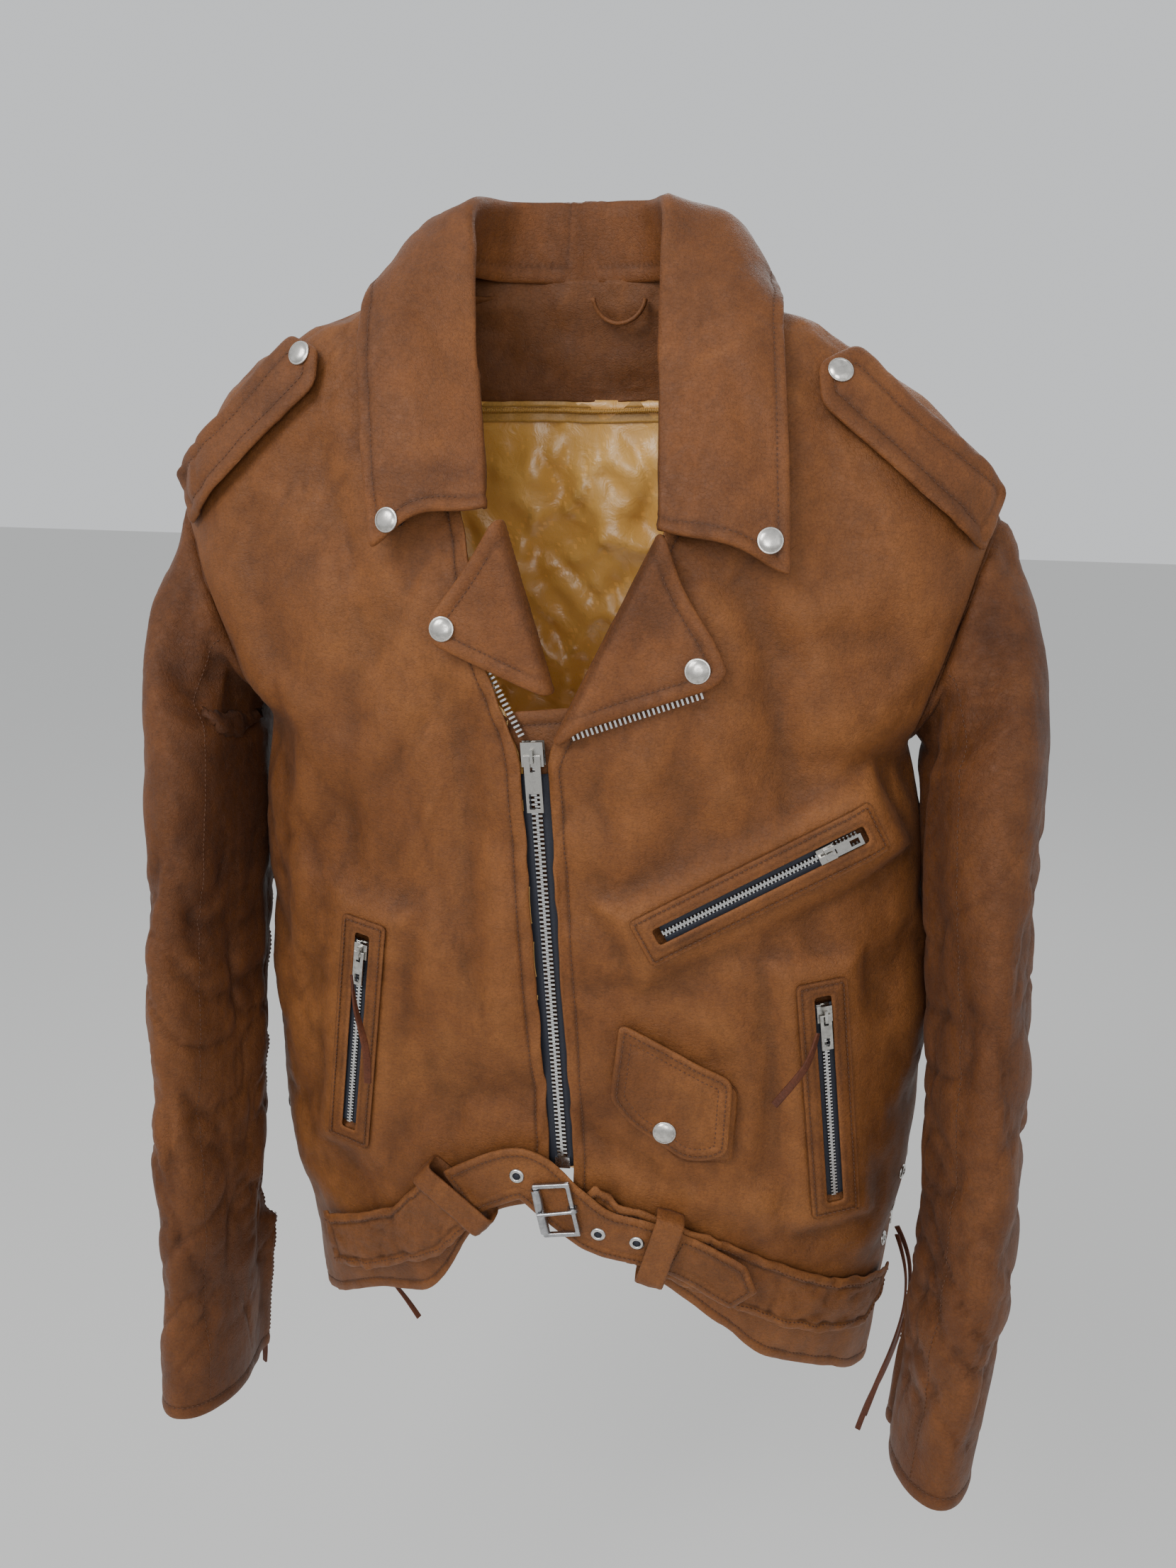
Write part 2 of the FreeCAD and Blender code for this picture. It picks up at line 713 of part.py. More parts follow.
def add(name, *shapes):
    """Name one node, made of one or more solids."""
    solids = [solid for shape in shapes for solid in shape.Solids]
    nodes[name] = solids[0] if len(solids) == 1 else Part.makeCompound(solids)


def make_body():
    for side, name in SIDES:
        add(f"{name}_front_panel", front_panel(side, 0.0, LEATHER))
    add("back_panel", back_panel(0.0, LEATHER))
    add("body_lining",
        front_panel(-1, LINING_INSET, LINING, LINING_TOP),
        front_panel(1, LINING_INSET, LINING, LINING_TOP),
        back_panel(LINING_INSET, LINING, LINING_TOP))
    add("inner_facings", back_band((-158, -22), (-44, 16), FACING_INSET, 1.4),
        front_patch((-36, 40), (-527, -210), LINING_INSET + 1.2, 1.6))
    add("liner_zip", back_band((-155, -25), (-53, -47), FACING_INSET, 2.4))
    loop = Part.makeTorus(16, 1.6, V(16, 34, 22), V(0, 1, 0))
    add("hang_loop", loop.common(box(-10, 40, 20, 50, 0, 22)))


def make_collar():
    add("collar_stand", *collar_stand().Solids)
    for side, name in SIDES:
        leaf = collar_leaf(side)
        add(f"{name}_collar_leaf", leaf)
        add(f"{name}_collar_snap", cap_over(leaf, *COLLAR_SNAP[side]))
        fold = lapel(side)
        add(f"{name}_lapel", fold)
        add(f"{name}_lapel_snap", cap_over(fold, *LAPEL_SNAP[side]))


def cap_over(leaf, x, z):
    """Snap cap standing on the outside of a leaf, over one (x, z)."""
    ray = Part.makeLine(V(x, -300, z), V(x, 0, z))
    front = min(vertex.Y for vertex in ray.common(leaf).Vertexes)
    step = 3.0
    sides = []
    for dx, dz in ((step, 0), (0, step)):
        near = Part.makeLine(V(x + dx, -300, z + dz), V(x + dx, 0, z + dz)).common(leaf)
        sides.append(V(dx, min(vertex.Y for vertex in near.Vertexes) - front, dz))
    normal = sides[0].cross(sides[1]).normalize()
    return placed(snap_cap(), V(x, front, z) + normal * SNAP_GAP, V(0, 0, 1), normal)


def epaulette(side):
    """Strap from the armhole to its snap beside the collar."""
    front, back = EPAULETTE[side]
    rows = []
    for share in (0.0, 0.33, 0.67, 1.0):
        low = V(front[0][0], 0, front[0][1]) * (1 - share) + V(front[1][0], 0, front[1][1]) * share
        high = V(back[0][0], 0, back[0][1]) * (1 - share) + V(back[1][0], 0, back[1][1]) * share
        row = []
        for step in (0.0, 0.5, 1.0):
            spot = low * (1 - step) + high * step
            row.append(on_front(spot.x, spot.z, EPAULETTE_LIFT))
        rows.append(row)
    return sheet(rows, side * TRIM)


def make_straps():
    for side, name in SIDES:
        strap_solid = epaulette(side)
        add(f"{name}_epaulette", strap_solid)
        x, z = EPAULETTE_SNAP[side]
        base = on_front(x, z, EPAULETTE_LIFT + TRIM + SNAP_GAP)
        add(f"{name}_epaulette_snap", placed(snap_cap(), base, V(0, 0, 1), front_normal(x, z)))
    studs = []
    for table in (COLLAR_SNAP, LAPEL_SNAP, EPAULETTE_SNAP):
        for side, _ in SIDES:
            x, z = table[side]
            studs.append(placed(snap_stud(), on_front(x, z, 0.1), V(0, 0, 1), front_normal(x, z)))
    add("snap_studs", *studs)


def main_zip_place():
    """Foot, direction, outward normal and length of the main chain."""
    top = V(ZIP_TOP.x, front_y(ZIP_TOP.x, ZIP_TOP.z) + CHAIN_DEPTH, ZIP_TOP.z)
    foot = V(ZIP_FOOT.x, front_y(ZIP_FOOT.x, ZIP_FOOT.z) + CHAIN_DEPTH, ZIP_FOOT.z)
    up = top - foot
    length = up.Length
    up.normalize()
    out = V(0, -1, 0) - up * V(0, -1, 0).dot(up)
    return foot, up, out.normalize(), length


def free_row(points, size, side):
    """Row of teeth along a line whose middle is its first and last point."""
    start, end = points
    up = end - start
    length = up.Length
    normal = V(0, -1, 0) - up * V(0, -1, 0).dot(up) / up.dot(up)
    row = zip_row(length, size, side)
    return [placed(tooth, start, up, normal) for tooth in row]


def make_main_zip():
    foot, up, out, length = main_zip_place()
    size = MAIN_ZIP
    stop = box(-5, 5, -9, -1, -2.4, 2.4)
    closed = placed(zip_chain(length, size), foot, up, out)
    right_open = [V(-17.5, 0, -238.5), V(-41, 0, -198)]
    right_open = [V(p.x, front_y(p.x, p.z) + OPEN_CHAIN_DEPTH, p.z) for p in right_open]
    add("main_zip_teeth", closed, placed(stop, foot, up, out), *free_row(right_open, size, -1))
    tapes = [placed(tape, foot, up, out) for tape in zip_tape(length, size, MAIN_TAPE_WIDTH)]
    lapel_top, lapel_foot = LAPEL_ROLL[1]
    edge = LAPEL_EDGE[1][-1]
    behind = V(0, LAPEL_CHAIN_SETBACK, -1)
    free = [lapel_foot + behind + V(10, 0, 4), edge + behind]
    add("left_open_teeth", *free_row(free, size, -1))
    head = foot + up * length
    add("main_slider", placed(zip_slider(size), head, up, out))
    axis = head + out * pull_axis_height(size)
    add("main_puller", placed(zip_puller(size), axis, up, out))
    return tapes


def small_slider(name, start, along, out, share, length, flip):
    """Slider and puller of one small zip, at a share of its length from its foot."""
    at = start + along * (length * share)
    add(f"{name}_slider", placed(zip_slider(SMALL_ZIP), at, along, out))
    hang = -along if flip else along
    axis = at + out * pull_axis_height(SMALL_ZIP)
    add(f"{name}_puller", placed(zip_puller(SMALL_ZIP), axis, hang, out))


def make_pockets(tapes):
    teeth = []
    welts = []
    bags = []
    for name, ends, share, flip in POCKETS:
        start, along, out, length = zip_place(ends)
        start = start + out * POCKET_CHAIN_LIFT
        teeth.append(placed(worn_chain(length, SMALL_ZIP, share * length), start, along, out))
        tapes += [placed(tape, start, along, out)
                  for tape in worn_tape(length, SMALL_ZIP, share * length)]
        welts.append(placed(welt(length), start + out * 0.4, along, out))
        small_slider(name, start, along, out, share, length, flip)
        xs = sorted(end[0] for end in ends)
        zs = sorted(end[1] for end in ends)
        bags.append(front_patch((xs[0] - 14, xs[1] + 14), (zs[0] - 10, zs[1] + 8), BAG_INSET, 1.2))
    add("pocket_zip_teeth", *teeth)
    add("zip_tapes", *tapes)
    add("pocket_welts", *welts)
    add("pocket_bags", *bags)
    add("coin_pocket", coin_plate(COIN_POUCH, 2.0, 4.6))
    flap = coin_plate(COIN_FLAP, 5.2, 7.4)
    add("coin_flap", flap)
    add("coin_flap_snap", cap_over(flap, *COIN_SNAP))


def make_belt():
    add("belt_bands",
        strap(BELT_RIGHT, BAND_HEIGHT, BELT_LIFT),
        strap(BELT_LEFT, BAND_HEIGHT, BAND_LIFT, LEATHER),
        back_strap(BELT_BACK, BAND_HEIGHT, BACK_BELT_LIFT))
    add("belt_tongue", strap(BELT_TONGUE, TONGUE_HEIGHT, BELT_LIFT))
    add("belt_tail", strap(BELT_TAIL, TONGUE_HEIGHT, BELT_LIFT, tip=10))
    add("belt_loops",
        loop_round(-62, -565, 0.9, BAND_HEIGHT + 6, 10, 0.5),
        loop_round(79, -587, -0.25, BAND_HEIGHT + 4, 9, 0.4))
    x, z = BUCKLE_AT
    normal = front_normal(x, z)
    up = V(math.sin(BUCKLE_TURN), 0, math.cos(BUCKLE_TURN))
    centre = on_front(x, z, BUCKLE_LIFT)
    half_width = BUCKLE_SIZE[0] / 2
    half_height = BUCKLE_SIZE[1] / 2
    rod = BUCKLE_ROD
    frame = box(-half_width, half_width, -half_height, half_height, -rod / 2, rod / 2)
    hole = box(-half_width + rod, half_width - rod, -half_height + rod, half_height - rod, -rod, rod)
    frame = frame.cut(hole)
    frame = frame.makeFillet(rod * 0.3, frame.Edges)
    add("buckle_frame", placed(frame, centre, up, normal))
    bar_x = half_width - rod / 2
    span = 2 * (half_height - rod) - 1.2
    start = V(-bar_x, -span / 2, 0)
    roller = Part.makeCylinder(3.3, span, start, V(0, 1, 0))
    roller = roller.cut(Part.makeCylinder(2.3, span, start, V(0, 1, 0)))
    add("buckle_roller", placed(roller, centre, up, normal))
    ring = Part.makeCylinder(3.6, 3, V(bar_x, -1.5, 0), V(0, 1, 0))
    tongue = Part.makeCylinder(1.2, 2 * bar_x + 1, V(bar_x, 0, 3.0), V(-1, 0, 0.075))
    prong = ring.fuse(tongue)
    prong = prong.cut(Part.makeCylinder(2.3, 3, V(bar_x, -1.5, 0), V(0, 1, 0)))
    add("buckle_prong", placed(prong, centre, up, normal))
    rings = []
    for x, z in TONGUE_EYELETS:
        base = on_front(x, z, BELT_LIFT + TRIM + 0.6)
        rings.append(placed(eyelet(), base, V(0, 0, 1), front_normal(x, z)))
    for theta in LACE_EYELET_ANGLES:
        for z in LACE_EYELET_HEIGHTS:
            point = body_point(theta, z)
            out = body_point(theta, z) - body_point(theta, z, 1.0)
            rings.append(placed(eyelet(), point + out.normalize() * LACE_EYELET_LIFT, V(0, 0, 1), out))
    add("eyelets", *rings)


def cuff_zip_place(side):
    """Foot, direction and outward normal of the zip in the back seam of one sleeve."""
    ends = []
    for ring in (SLEEVE[side][-1], SLEEVE[side][-2]):
        x, y, z, _, half_depth, _ = ring
        lean = math.radians(SLEEVE_LEAN)
        ends.append(V(x, y, z) + V(0, math.cos(lean), -math.sin(lean)) * half_depth)
    along = ends[1] - ends[0]
    out = V(0, 1, 0) - along * V(0, 1, 0).dot(along) / along.dot(along)
    out.normalize()
    start = ends[0] + along * 0.08 + out * CUFF_CHAIN_LIFT
    return start, along.normalize(), out


def make_sleeves():
    for side, name in SIDES:
        rings = SLEEVE[side]
        add(f"{name}_sleeve", tube(side, rings, 0.0, LEATHER))
        x, y, z, half_width, half_depth, tilt = rings[-1]
        cuff = (x, y - 1.5, z + CUFF_LINING_SETBACK, half_width, half_depth, tilt)
        lining_rings = [*rings[2:-1], cuff]
        add(f"{name}_sleeve_lining", tube(side, lining_rings, SLEEVE_LINING_INSET, LINING))
        start, along, out = cuff_zip_place(side)
        closed = CUFF_ZIP_LENGTH - CUFF_SLIDER_AT
        head = start + along * CUFF_ZIP_LENGTH
        chain = placed(worn_chain(CUFF_ZIP_LENGTH, SMALL_ZIP, closed), head, -along, out)
        tapes = [placed(tape, head, -along, out)
                 for tape in worn_tape(CUFF_ZIP_LENGTH, SMALL_ZIP, closed, CUFF_TAPE_WIDTH)]
        add(f"{name}_cuff_zip", chain, *tapes)
        at = start + along * CUFF_SLIDER_AT
        axis = at + out * pull_axis_height(SMALL_ZIP)
        slider = placed(zip_slider(SMALL_ZIP), at, -along, out)
        puller = placed(zip_puller(SMALL_ZIP), axis, along, out)
        add(f"{name}_cuff_slider", slider, puller)


def make_cords():
    for name, (points, radius) in CORDS.items():
        solid, length, bend = cord([V(*point) for point in points], radius)
        add(name, solid)
        print(f"{name}: {length:.1f} mm long, tightest bend {bend:.1f} mm, "
              f"volume {solid.Volume / (math.pi * radius ** 2 * length):.3f} of its section")


make_body()
make_collar()
make_straps()
make_pockets(make_main_zip())
make_belt()
make_sleeves()
make_cords()

os.makedirs("parts", exist_ok=True)
for name, shape in nodes.items():
    if not shape.isValid():
        print("not valid:", name)
    shape.exportStep(f"parts/{name}.step")
print(len(nodes), "nodes")
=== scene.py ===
"""Leather riding jacket: the finished surfaces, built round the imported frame. Metres, +Z up,
the front faces -Y and +X is the wearer's left."""

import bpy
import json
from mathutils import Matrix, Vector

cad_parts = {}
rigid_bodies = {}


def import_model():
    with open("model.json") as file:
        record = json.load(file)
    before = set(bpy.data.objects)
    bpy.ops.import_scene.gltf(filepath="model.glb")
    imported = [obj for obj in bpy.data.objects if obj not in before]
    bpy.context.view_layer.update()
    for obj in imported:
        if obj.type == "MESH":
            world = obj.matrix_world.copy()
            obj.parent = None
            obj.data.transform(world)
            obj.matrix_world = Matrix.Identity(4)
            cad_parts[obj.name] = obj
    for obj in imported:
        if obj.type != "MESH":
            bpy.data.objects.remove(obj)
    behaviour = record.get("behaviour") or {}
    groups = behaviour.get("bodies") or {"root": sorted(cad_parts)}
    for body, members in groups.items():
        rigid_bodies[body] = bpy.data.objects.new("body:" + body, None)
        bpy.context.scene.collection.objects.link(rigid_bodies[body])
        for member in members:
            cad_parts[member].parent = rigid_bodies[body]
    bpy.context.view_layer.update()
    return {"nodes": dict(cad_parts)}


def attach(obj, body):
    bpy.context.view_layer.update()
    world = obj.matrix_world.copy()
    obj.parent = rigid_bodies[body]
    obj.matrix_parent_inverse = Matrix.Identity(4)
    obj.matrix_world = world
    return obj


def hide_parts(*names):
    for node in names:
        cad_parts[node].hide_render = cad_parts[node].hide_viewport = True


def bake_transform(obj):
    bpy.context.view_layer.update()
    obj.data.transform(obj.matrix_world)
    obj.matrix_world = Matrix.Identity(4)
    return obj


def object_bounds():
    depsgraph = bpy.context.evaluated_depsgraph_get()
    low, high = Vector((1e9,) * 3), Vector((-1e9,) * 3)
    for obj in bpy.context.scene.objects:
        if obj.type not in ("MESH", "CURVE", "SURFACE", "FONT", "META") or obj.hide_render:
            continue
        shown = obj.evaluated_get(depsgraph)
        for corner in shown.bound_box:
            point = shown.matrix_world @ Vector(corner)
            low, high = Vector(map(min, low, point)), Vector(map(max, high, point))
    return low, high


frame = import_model()

import copy
import json
import math

import bpy
import numpy as np
from mathutils import Matrix, Vector
from mathutils.bvhtree import BVHTree
from mathutils.geometry import delaunay_2d_cdt

MM = 0.001
SIDES = (("right", -1.0), ("left", 1.0))
AXIS_Y = -0.008                     # the side seams and the shoulder ridge
LEATHER = 2.0 * MM
TRIM = 2.4 * MM
STITCH_INSET = 9.0 * MM
STITCH_PITCH = 3.3 * MM
STITCH_LENGTH = 2.5 * MM
THREAD = 0.36 * MM
FORWARD = np.array([0.0, -1.0, 0.0])
UPRIGHT = np.array([0.0, 0.31, 0.95])  # way up for a round piece on the front


# ================================================================= numbers and surfaces
def mm(*values):
    return np.array(values, float) * MM


def unit(vectors):
    return vectors / np.maximum(np.linalg.norm(vectors, axis=-1, keepdims=True), 1e-12)


def smooth(value, low, high):
    """0 below low, 1 above high, and smooth between."""
    share = np.clip((value - low) / (high - low), 0.0, 1.0)
    return share * share * (3 - 2 * share)


def noise(points, cell, seed):
    """Smooth noise from -1 to 1 in cells of one size, or of three sizes."""
    place = points / np.asarray(cell, float)
    corner = np.floor(place).astype(np.int64)
    share = place - corner
    share = share * share * (3 - 2 * share)
    total = np.zeros(points.shape[:-1])
    for dx in (0, 1):
        for dy in (0, 1):
            for dz in (0, 1):
                x, y, z = corner[..., 0] + dx, corner[..., 1] + dy, corner[..., 2] + dz
                mixed = (x * 73856093) ^ (y * 19349663) ^ (z * 83492791) ^ (seed * 2654435)
                mixed = (mixed ^ (mixed >> 13)) * 1274126177 & 0x7FFFFFFF
                value = ((mixed ^ (mixed >> 15)) & 0xFFFF) / 32767.5 - 1
                weight = np.abs(1 - dx - share[..., 0])
                weight = weight * np.abs(1 - dy - share[..., 1]) * np.abs(1 - dz - share[..., 2])
                total += value * weight
    return total


def ridges(points, cell, seed, sharpness=2.0):
    """Creases: 1 on thin lines and 0 between them."""
    return np.clip(1 - 1.6 * np.abs(noise(points, cell, seed)), 0, 1) ** sharpness


def turned_by(points, degrees):
    """Points turned about the Y axis."""
    a = math.radians(degrees)
    x, y, z = points[..., 0], points[..., 1], points[..., 2]
    return np.stack([x * math.cos(a) + z * math.sin(a), y, z * math.cos(a) - x * math.sin(a)], -1)


def at_lengths(line, wanted):
    """Points of a smooth line through a row of points, at distances along it."""
    steps = np.linalg.norm(np.diff(line, axis=0), axis=1) + 1e-9
    s = np.concatenate([[0.0], np.cumsum(steps)])
    slope = np.gradient(line, s, axis=0)
    i = np.clip(np.searchsorted(s, wanted, side="right") - 1, 0, len(s) - 2)
    gap = (s[i + 1] - s[i])[:, None]
    t = ((wanted - s[i]) / (s[i + 1] - s[i]))[:, None]
    return (
        (2 * t**3 - 3 * t**2 + 1) * line[i] + (t**3 - 2 * t**2 + t) * gap * slope[i]
        + (3 * t**2 - 2 * t**3) * line[i + 1] + (t**3 - t**2) * gap * slope[i + 1]
    )


EDGE_STEPS = mm(0, 0.3, 0.8, 1.6, 2.8, 4.6, 6.6, 8.0, 9.0, 10.0, 11.8)


def length_of(line):
    return float(np.linalg.norm(np.diff(line, axis=0), axis=1).sum())


def refine(grid, axis, step, low=False, high=False):
    """Grid with even steps along one axis, and close steps at its turned edges."""
    lines = grid if axis == 1 else grid.transpose(1, 0, 2)
    near = EDGE_STEPS if low else EDGE_STEPS[:1]
    far = EDGE_STEPS if high else EDGE_STEPS[:1]
    mean = np.mean([length_of(line) for line in lines])
    count = max(3, int(round((mean - near[-1] - far[-1]) / step)) + 1)
    made = []
    for line in lines:
        length = length_of(line)
        scale = min(1.0, length / (1.25 * (near[-1] + far[-1]) + 1e-9))
        start = near[-1] * scale
        end = length - far[-1] * scale
        middle = np.linspace(start, end, count)[1:-1]
        places = np.concatenate([near * scale, middle, length - far[::-1] * scale])
        made.append(at_lengths(line, places))
    made = np.array(made)
    return made if axis == 1 else made.transpose(1, 0, 2)


def grid_normals(grid, sign=1.0, closed=False):
    """Normals of a grid, along rows x columns times sign."""
    down = np.gradient(grid, axis=0)
    if closed:
        across = (np.roll(grid, -1, axis=1) - np.roll(grid, 1, axis=1)) / 2
    else:
        across = np.gradient(grid, axis=1)
    return unit(np.cross(across, down)) * sign


def sheet_area(grid):
    """Area of a grid of points."""
    a = np.cross(grid[1:, :-1] - grid[:-1, :-1], grid[:-1, 1:] - grid[:-1, :-1])
    b = np.cross(grid[1:, :-1] - grid[1:, 1:], grid[:-1, 1:] - grid[1:, 1:])
    return float(0.5 * (np.linalg.norm(a, axis=2).sum() + np.linalg.norm(b, axis=2).sum()))


def cut_size(place, ease):
    """Width, length and area of cloth cut for a smooth place, longer and wider by an ease."""
    area = sheet_area(place) * ease**2
    long = float(length_of(place.mean(axis=1))) * ease
    return (area / long, long), area


def soften(field, times, closed=False):
    """Average each value of a field on a grid with its neighbours."""
    for _ in range(times):
        padded = np.pad(field, ((1, 1), (0, 0)) + ((0, 0),) * (field.ndim - 2), mode="edge")
        field = (padded[:-2] + 2 * padded[1:-1] + padded[2:]) / 4
        if closed:
            field = (np.roll(field, 1, axis=1) + 2 * field + np.roll(field, -1, axis=1)) / 4
        else:
            padded = np.pad(field, ((0, 0), (1, 1)) + ((0, 0),) * (field.ndim - 2), mode="edge")
            field = (padded[:, :-2] + 2 * padded[:, 1:-1] + padded[:, 2:]) / 4
    return field


def node_tree(*names):
    """Search tree over CAD nodes, at rest."""
    points, faces = [], []
    for name in names:
        mesh = frame["nodes"][name].data
        first = len(points)
        points += [tuple(v.co) for v in mesh.vertices]
        faces += [[first + index for index in face.vertices] for face in mesh.polygons]
    return BVHTree.FromPolygons(points, faces)


def node_points(name):
    mesh = frame["nodes"][name].data
    points = np.empty(len(mesh.vertices) * 3)
    mesh.vertices.foreach_get("co", points)
    return points.reshape(-1, 3)


# ================================================================= materials
class Shader:
    """A material's node tree, with short calls to add to it."""

    def __init__(self, name):
        self.material = bpy.data.materials.new(name)
        self.material.use_nodes = True
        self.tree = self.material.node_tree
        self.bsdf = self.tree.nodes["Principled BSDF"]
        self.place = self.add("ShaderNodeTexCoord").outputs["Object"]

    def add(self, kind, **settings):
        node = self.tree.nodes.new(kind)
        for key, value in settings.items():
            setattr(node, key, value)
        return node

    def link(self, source, target):
        self.tree.links.new(source, target)

    def stretched(self, scale):
        node = self.add("ShaderNodeMapping")
        node.inputs["Scale"].default_value = scale
        self.link(self.place, node.inputs["Vector"])
        return node.outputs["Vector"]

    def noise(self, scale, detail=4.0, rough=0.55, distortion=0.0, place=None):
        node = self.add("ShaderNodeTexNoise")
        node.inputs["Scale"].default_value = scale
        node.inputs["Detail"].default_value = detail
        node.inputs["Roughness"].default_value = rough
        node.inputs["Distortion"].default_value = distortion
        self.link(place or self.place, node.inputs["Vector"])
        return node.outputs["Fac"]

    def cells(self, scale, feature="F1", place=None):
        node = self.add("ShaderNodeTexVoronoi", feature=feature)
        node.inputs["Scale"].default_value = scale
        self.link(place or self.place, node.inputs["Vector"])
        return node.outputs["Distance"]

    def ramp(self, source, *stops):
        """Colour or value ramp through (place, colour) stops."""
        node = self.add("ShaderNodeValToRGB")
        elements = node.color_ramp.elements
        while len(elements) < len(stops):
            elements.new(0.5)
        for element, (place, colour) in zip(elements, stops):
            element.position = place
            element.color = (*colour, 1) if isinstance(colour, tuple) else (colour,) * 3 + (1,)
        self.link(source, node.inputs["Fac"])
        return node.outputs["Color"]

    def mix(self, kind, amount, first, second):
        node = self.add("ShaderNodeMix", data_type="RGBA", blend_type=kind)
        for socket, value in (("Factor", amount), ("A", first), ("B", second)):
            target = [s for s in node.inputs if s.name == socket and s.enabled][0]
            if isinstance(value, (int, float)) or isinstance(value, tuple):
                target.default_value = value if socket == "Factor" else (*value, 1)
            else:
                self.link(value, target)
        return [s for s in node.outputs if s.enabled][0]

    def attribute(self, name):
        return self.add("ShaderNodeAttribute", attribute_name=name).outputs["Fac"]

    def bump(self, *layers):
        """Bumps, each a (height, depth in metres), one over the other."""
        normal = None
        for height, depth in layers:
            node = self.add("ShaderNodeBump")
            node.inputs["Distance"].default_value = depth
            node.inputs["Strength"].default_value = 1.0
            self.link(height, node.inputs["Height"])
            if normal:
                self.link(normal, node.inputs["Normal"])
            normal = node.outputs["Normal"]
        self.link(normal, self.bsdf.inputs["Normal"])

    def set(self, **values):
        for key, value in values.items():
            socket = self.bsdf.inputs[key.replace("_", " ")]
            if isinstance(value, (int, float, tuple)):
                socket.default_value = (*value, 1) if isinstance(value, tuple) else value
            else:
                self.link(value, socket)


def leather_material(name, light, middle, dark, grain=1.0, creases=1.0):
    """Waxed hide: mottled dye, pale rubbed edges, fine grain and small creases, with painted shade in
    crease valleys and sunk stitch grooves and a painted highlight on ridges.
    """
    s = Shader(name)
    cloud = s.noise(7, 7, 0.66, 1.0)
    colour = s.ramp(cloud, (0.30, dark), (0.50, middle), (0.70, light))
    patches = s.noise(42, 6, 0.72, 0.6)
    colour = s.mix("OVERLAY", 0.32, colour, s.ramp(patches, (0.34, 0.34), (0.66, 0.64)))
    streaks = s.noise(95, 5, 0.66, 0.5, place=s.stretched((1.0, 1.0, 0.42)))
    colour = s.mix("OVERLAY", 0.24, colour, s.ramp(streaks, (0.36, 0.30), (0.64, 0.68)))
    freckles = s.noise(620, 3, 0.75)
    colour = s.mix("MULTIPLY", 0.45, colour, s.ramp(freckles, (0.38, 0.55), (0.55, 1.0)))
    # painted shade from the shade attribute: darker in crease valleys and in the sunk stitch grooves
    shade = s.attribute("shade")
    colour = s.mix("MULTIPLY", 0.9, colour, s.ramp(shade, (0.0, 0.38), (0.5, 0.98), (1.0, 1.0)))
    # painted highlight on ridges, together with the pale rubbed edges
    colour = s.mix("SCREEN", s.ramp(shade, (0.55, 0.0), (1.0, 0.25)), colour, light)
    pores = s.cells(1150)
    wrinkles = s.noise(150, 6, 0.75, 0.8)
    lines = s.cells(260, "DISTANCE_TO_EDGE", place=s.stretched((1.0, 1.0, 1.5)))
    net = s.ramp(lines, (0.0, 0.0), (0.10, 1.0))
    colour = s.mix("MULTIPLY", 0.22, colour, s.ramp(lines, (0.0, 0.45), (0.05, 1.0)))
    s.bump((wrinkles, 0.75 * MM * creases), (net, 0.09 * MM * grain), (pores, 0.10 * MM * grain))
    rough = s.ramp(patches, (0.3, 0.44), (0.7, 0.62))
    s.set(Base_Color=colour, Roughness=rough, Specular_IOR_Level=0.24)
    s.bsdf.inputs["Sheen Weight"].default_value = 0.03
    s.bsdf.inputs["Sheen Roughness"].default_value = 0.45
    return s.material


def plain_material(name, colour, rough, metallic=0.0, wear=0.1, cell=400, depth=0.02):
    """Metal, thread or tape with a little unevenness in colour, gloss and surface."""
    s = Shader(name)
    spots = s.noise(cell, 5, 0.65, 0.3)
    darker = tuple(channel * (1 - 3 * wear) for channel in colour)
    s.set(Base_Color=s.ramp(spots, (0.35, darker), (0.62, colour)), Metallic=metallic)
    s.set(Roughness=s.ramp(spots, (0.3, rough + wear), (0.7, max(0.05, rough - wear))))
    s.bump((spots, depth * MM))
    return s.material


def satin_material(name, light, dark):
    s = Shader(name)
    cloud = s.noise(14, 4, 0.5)
    weave = s.noise(900, 2, 0.5, place=s.stretched((3.0, 3.0, 0.4)))
    colour = s.ramp(cloud, (0.35, dark), (0.65, light))
    colour = s.mix("MULTIPLY", 0.3, colour, s.ramp(weave, (0.3, 0.6), (0.7, 1.0)))
    # painted shade in the satin's crease valleys, from the shade attribute
    shade = s.attribute("shade")
    colour = s.mix("MULTIPLY", 0.8, colour, s.ramp(shade, (0.0, 0.35), (0.5, 1.0)))
    s.set(Base_Color=colour, Roughness=s.ramp(weave, (0.3, 0.34), (0.7, 0.26)), Metallic=0.0)
    s.bsdf.inputs["Specular IOR Level"].default_value = 0.7
    s.bsdf.inputs["Sheen Weight"].default_value = 0.35
    s.bsdf.inputs["Sheen Roughness"].default_value = 0.3
    s.bsdf.inputs["Sheen Tint"].default_value = (1.0, 0.72, 0.3, 1)
    s.bump((s.noise(75, 5, 0.6, 0.8), 1.1 * MM), (weave, 0.04 * MM))
    return s.material


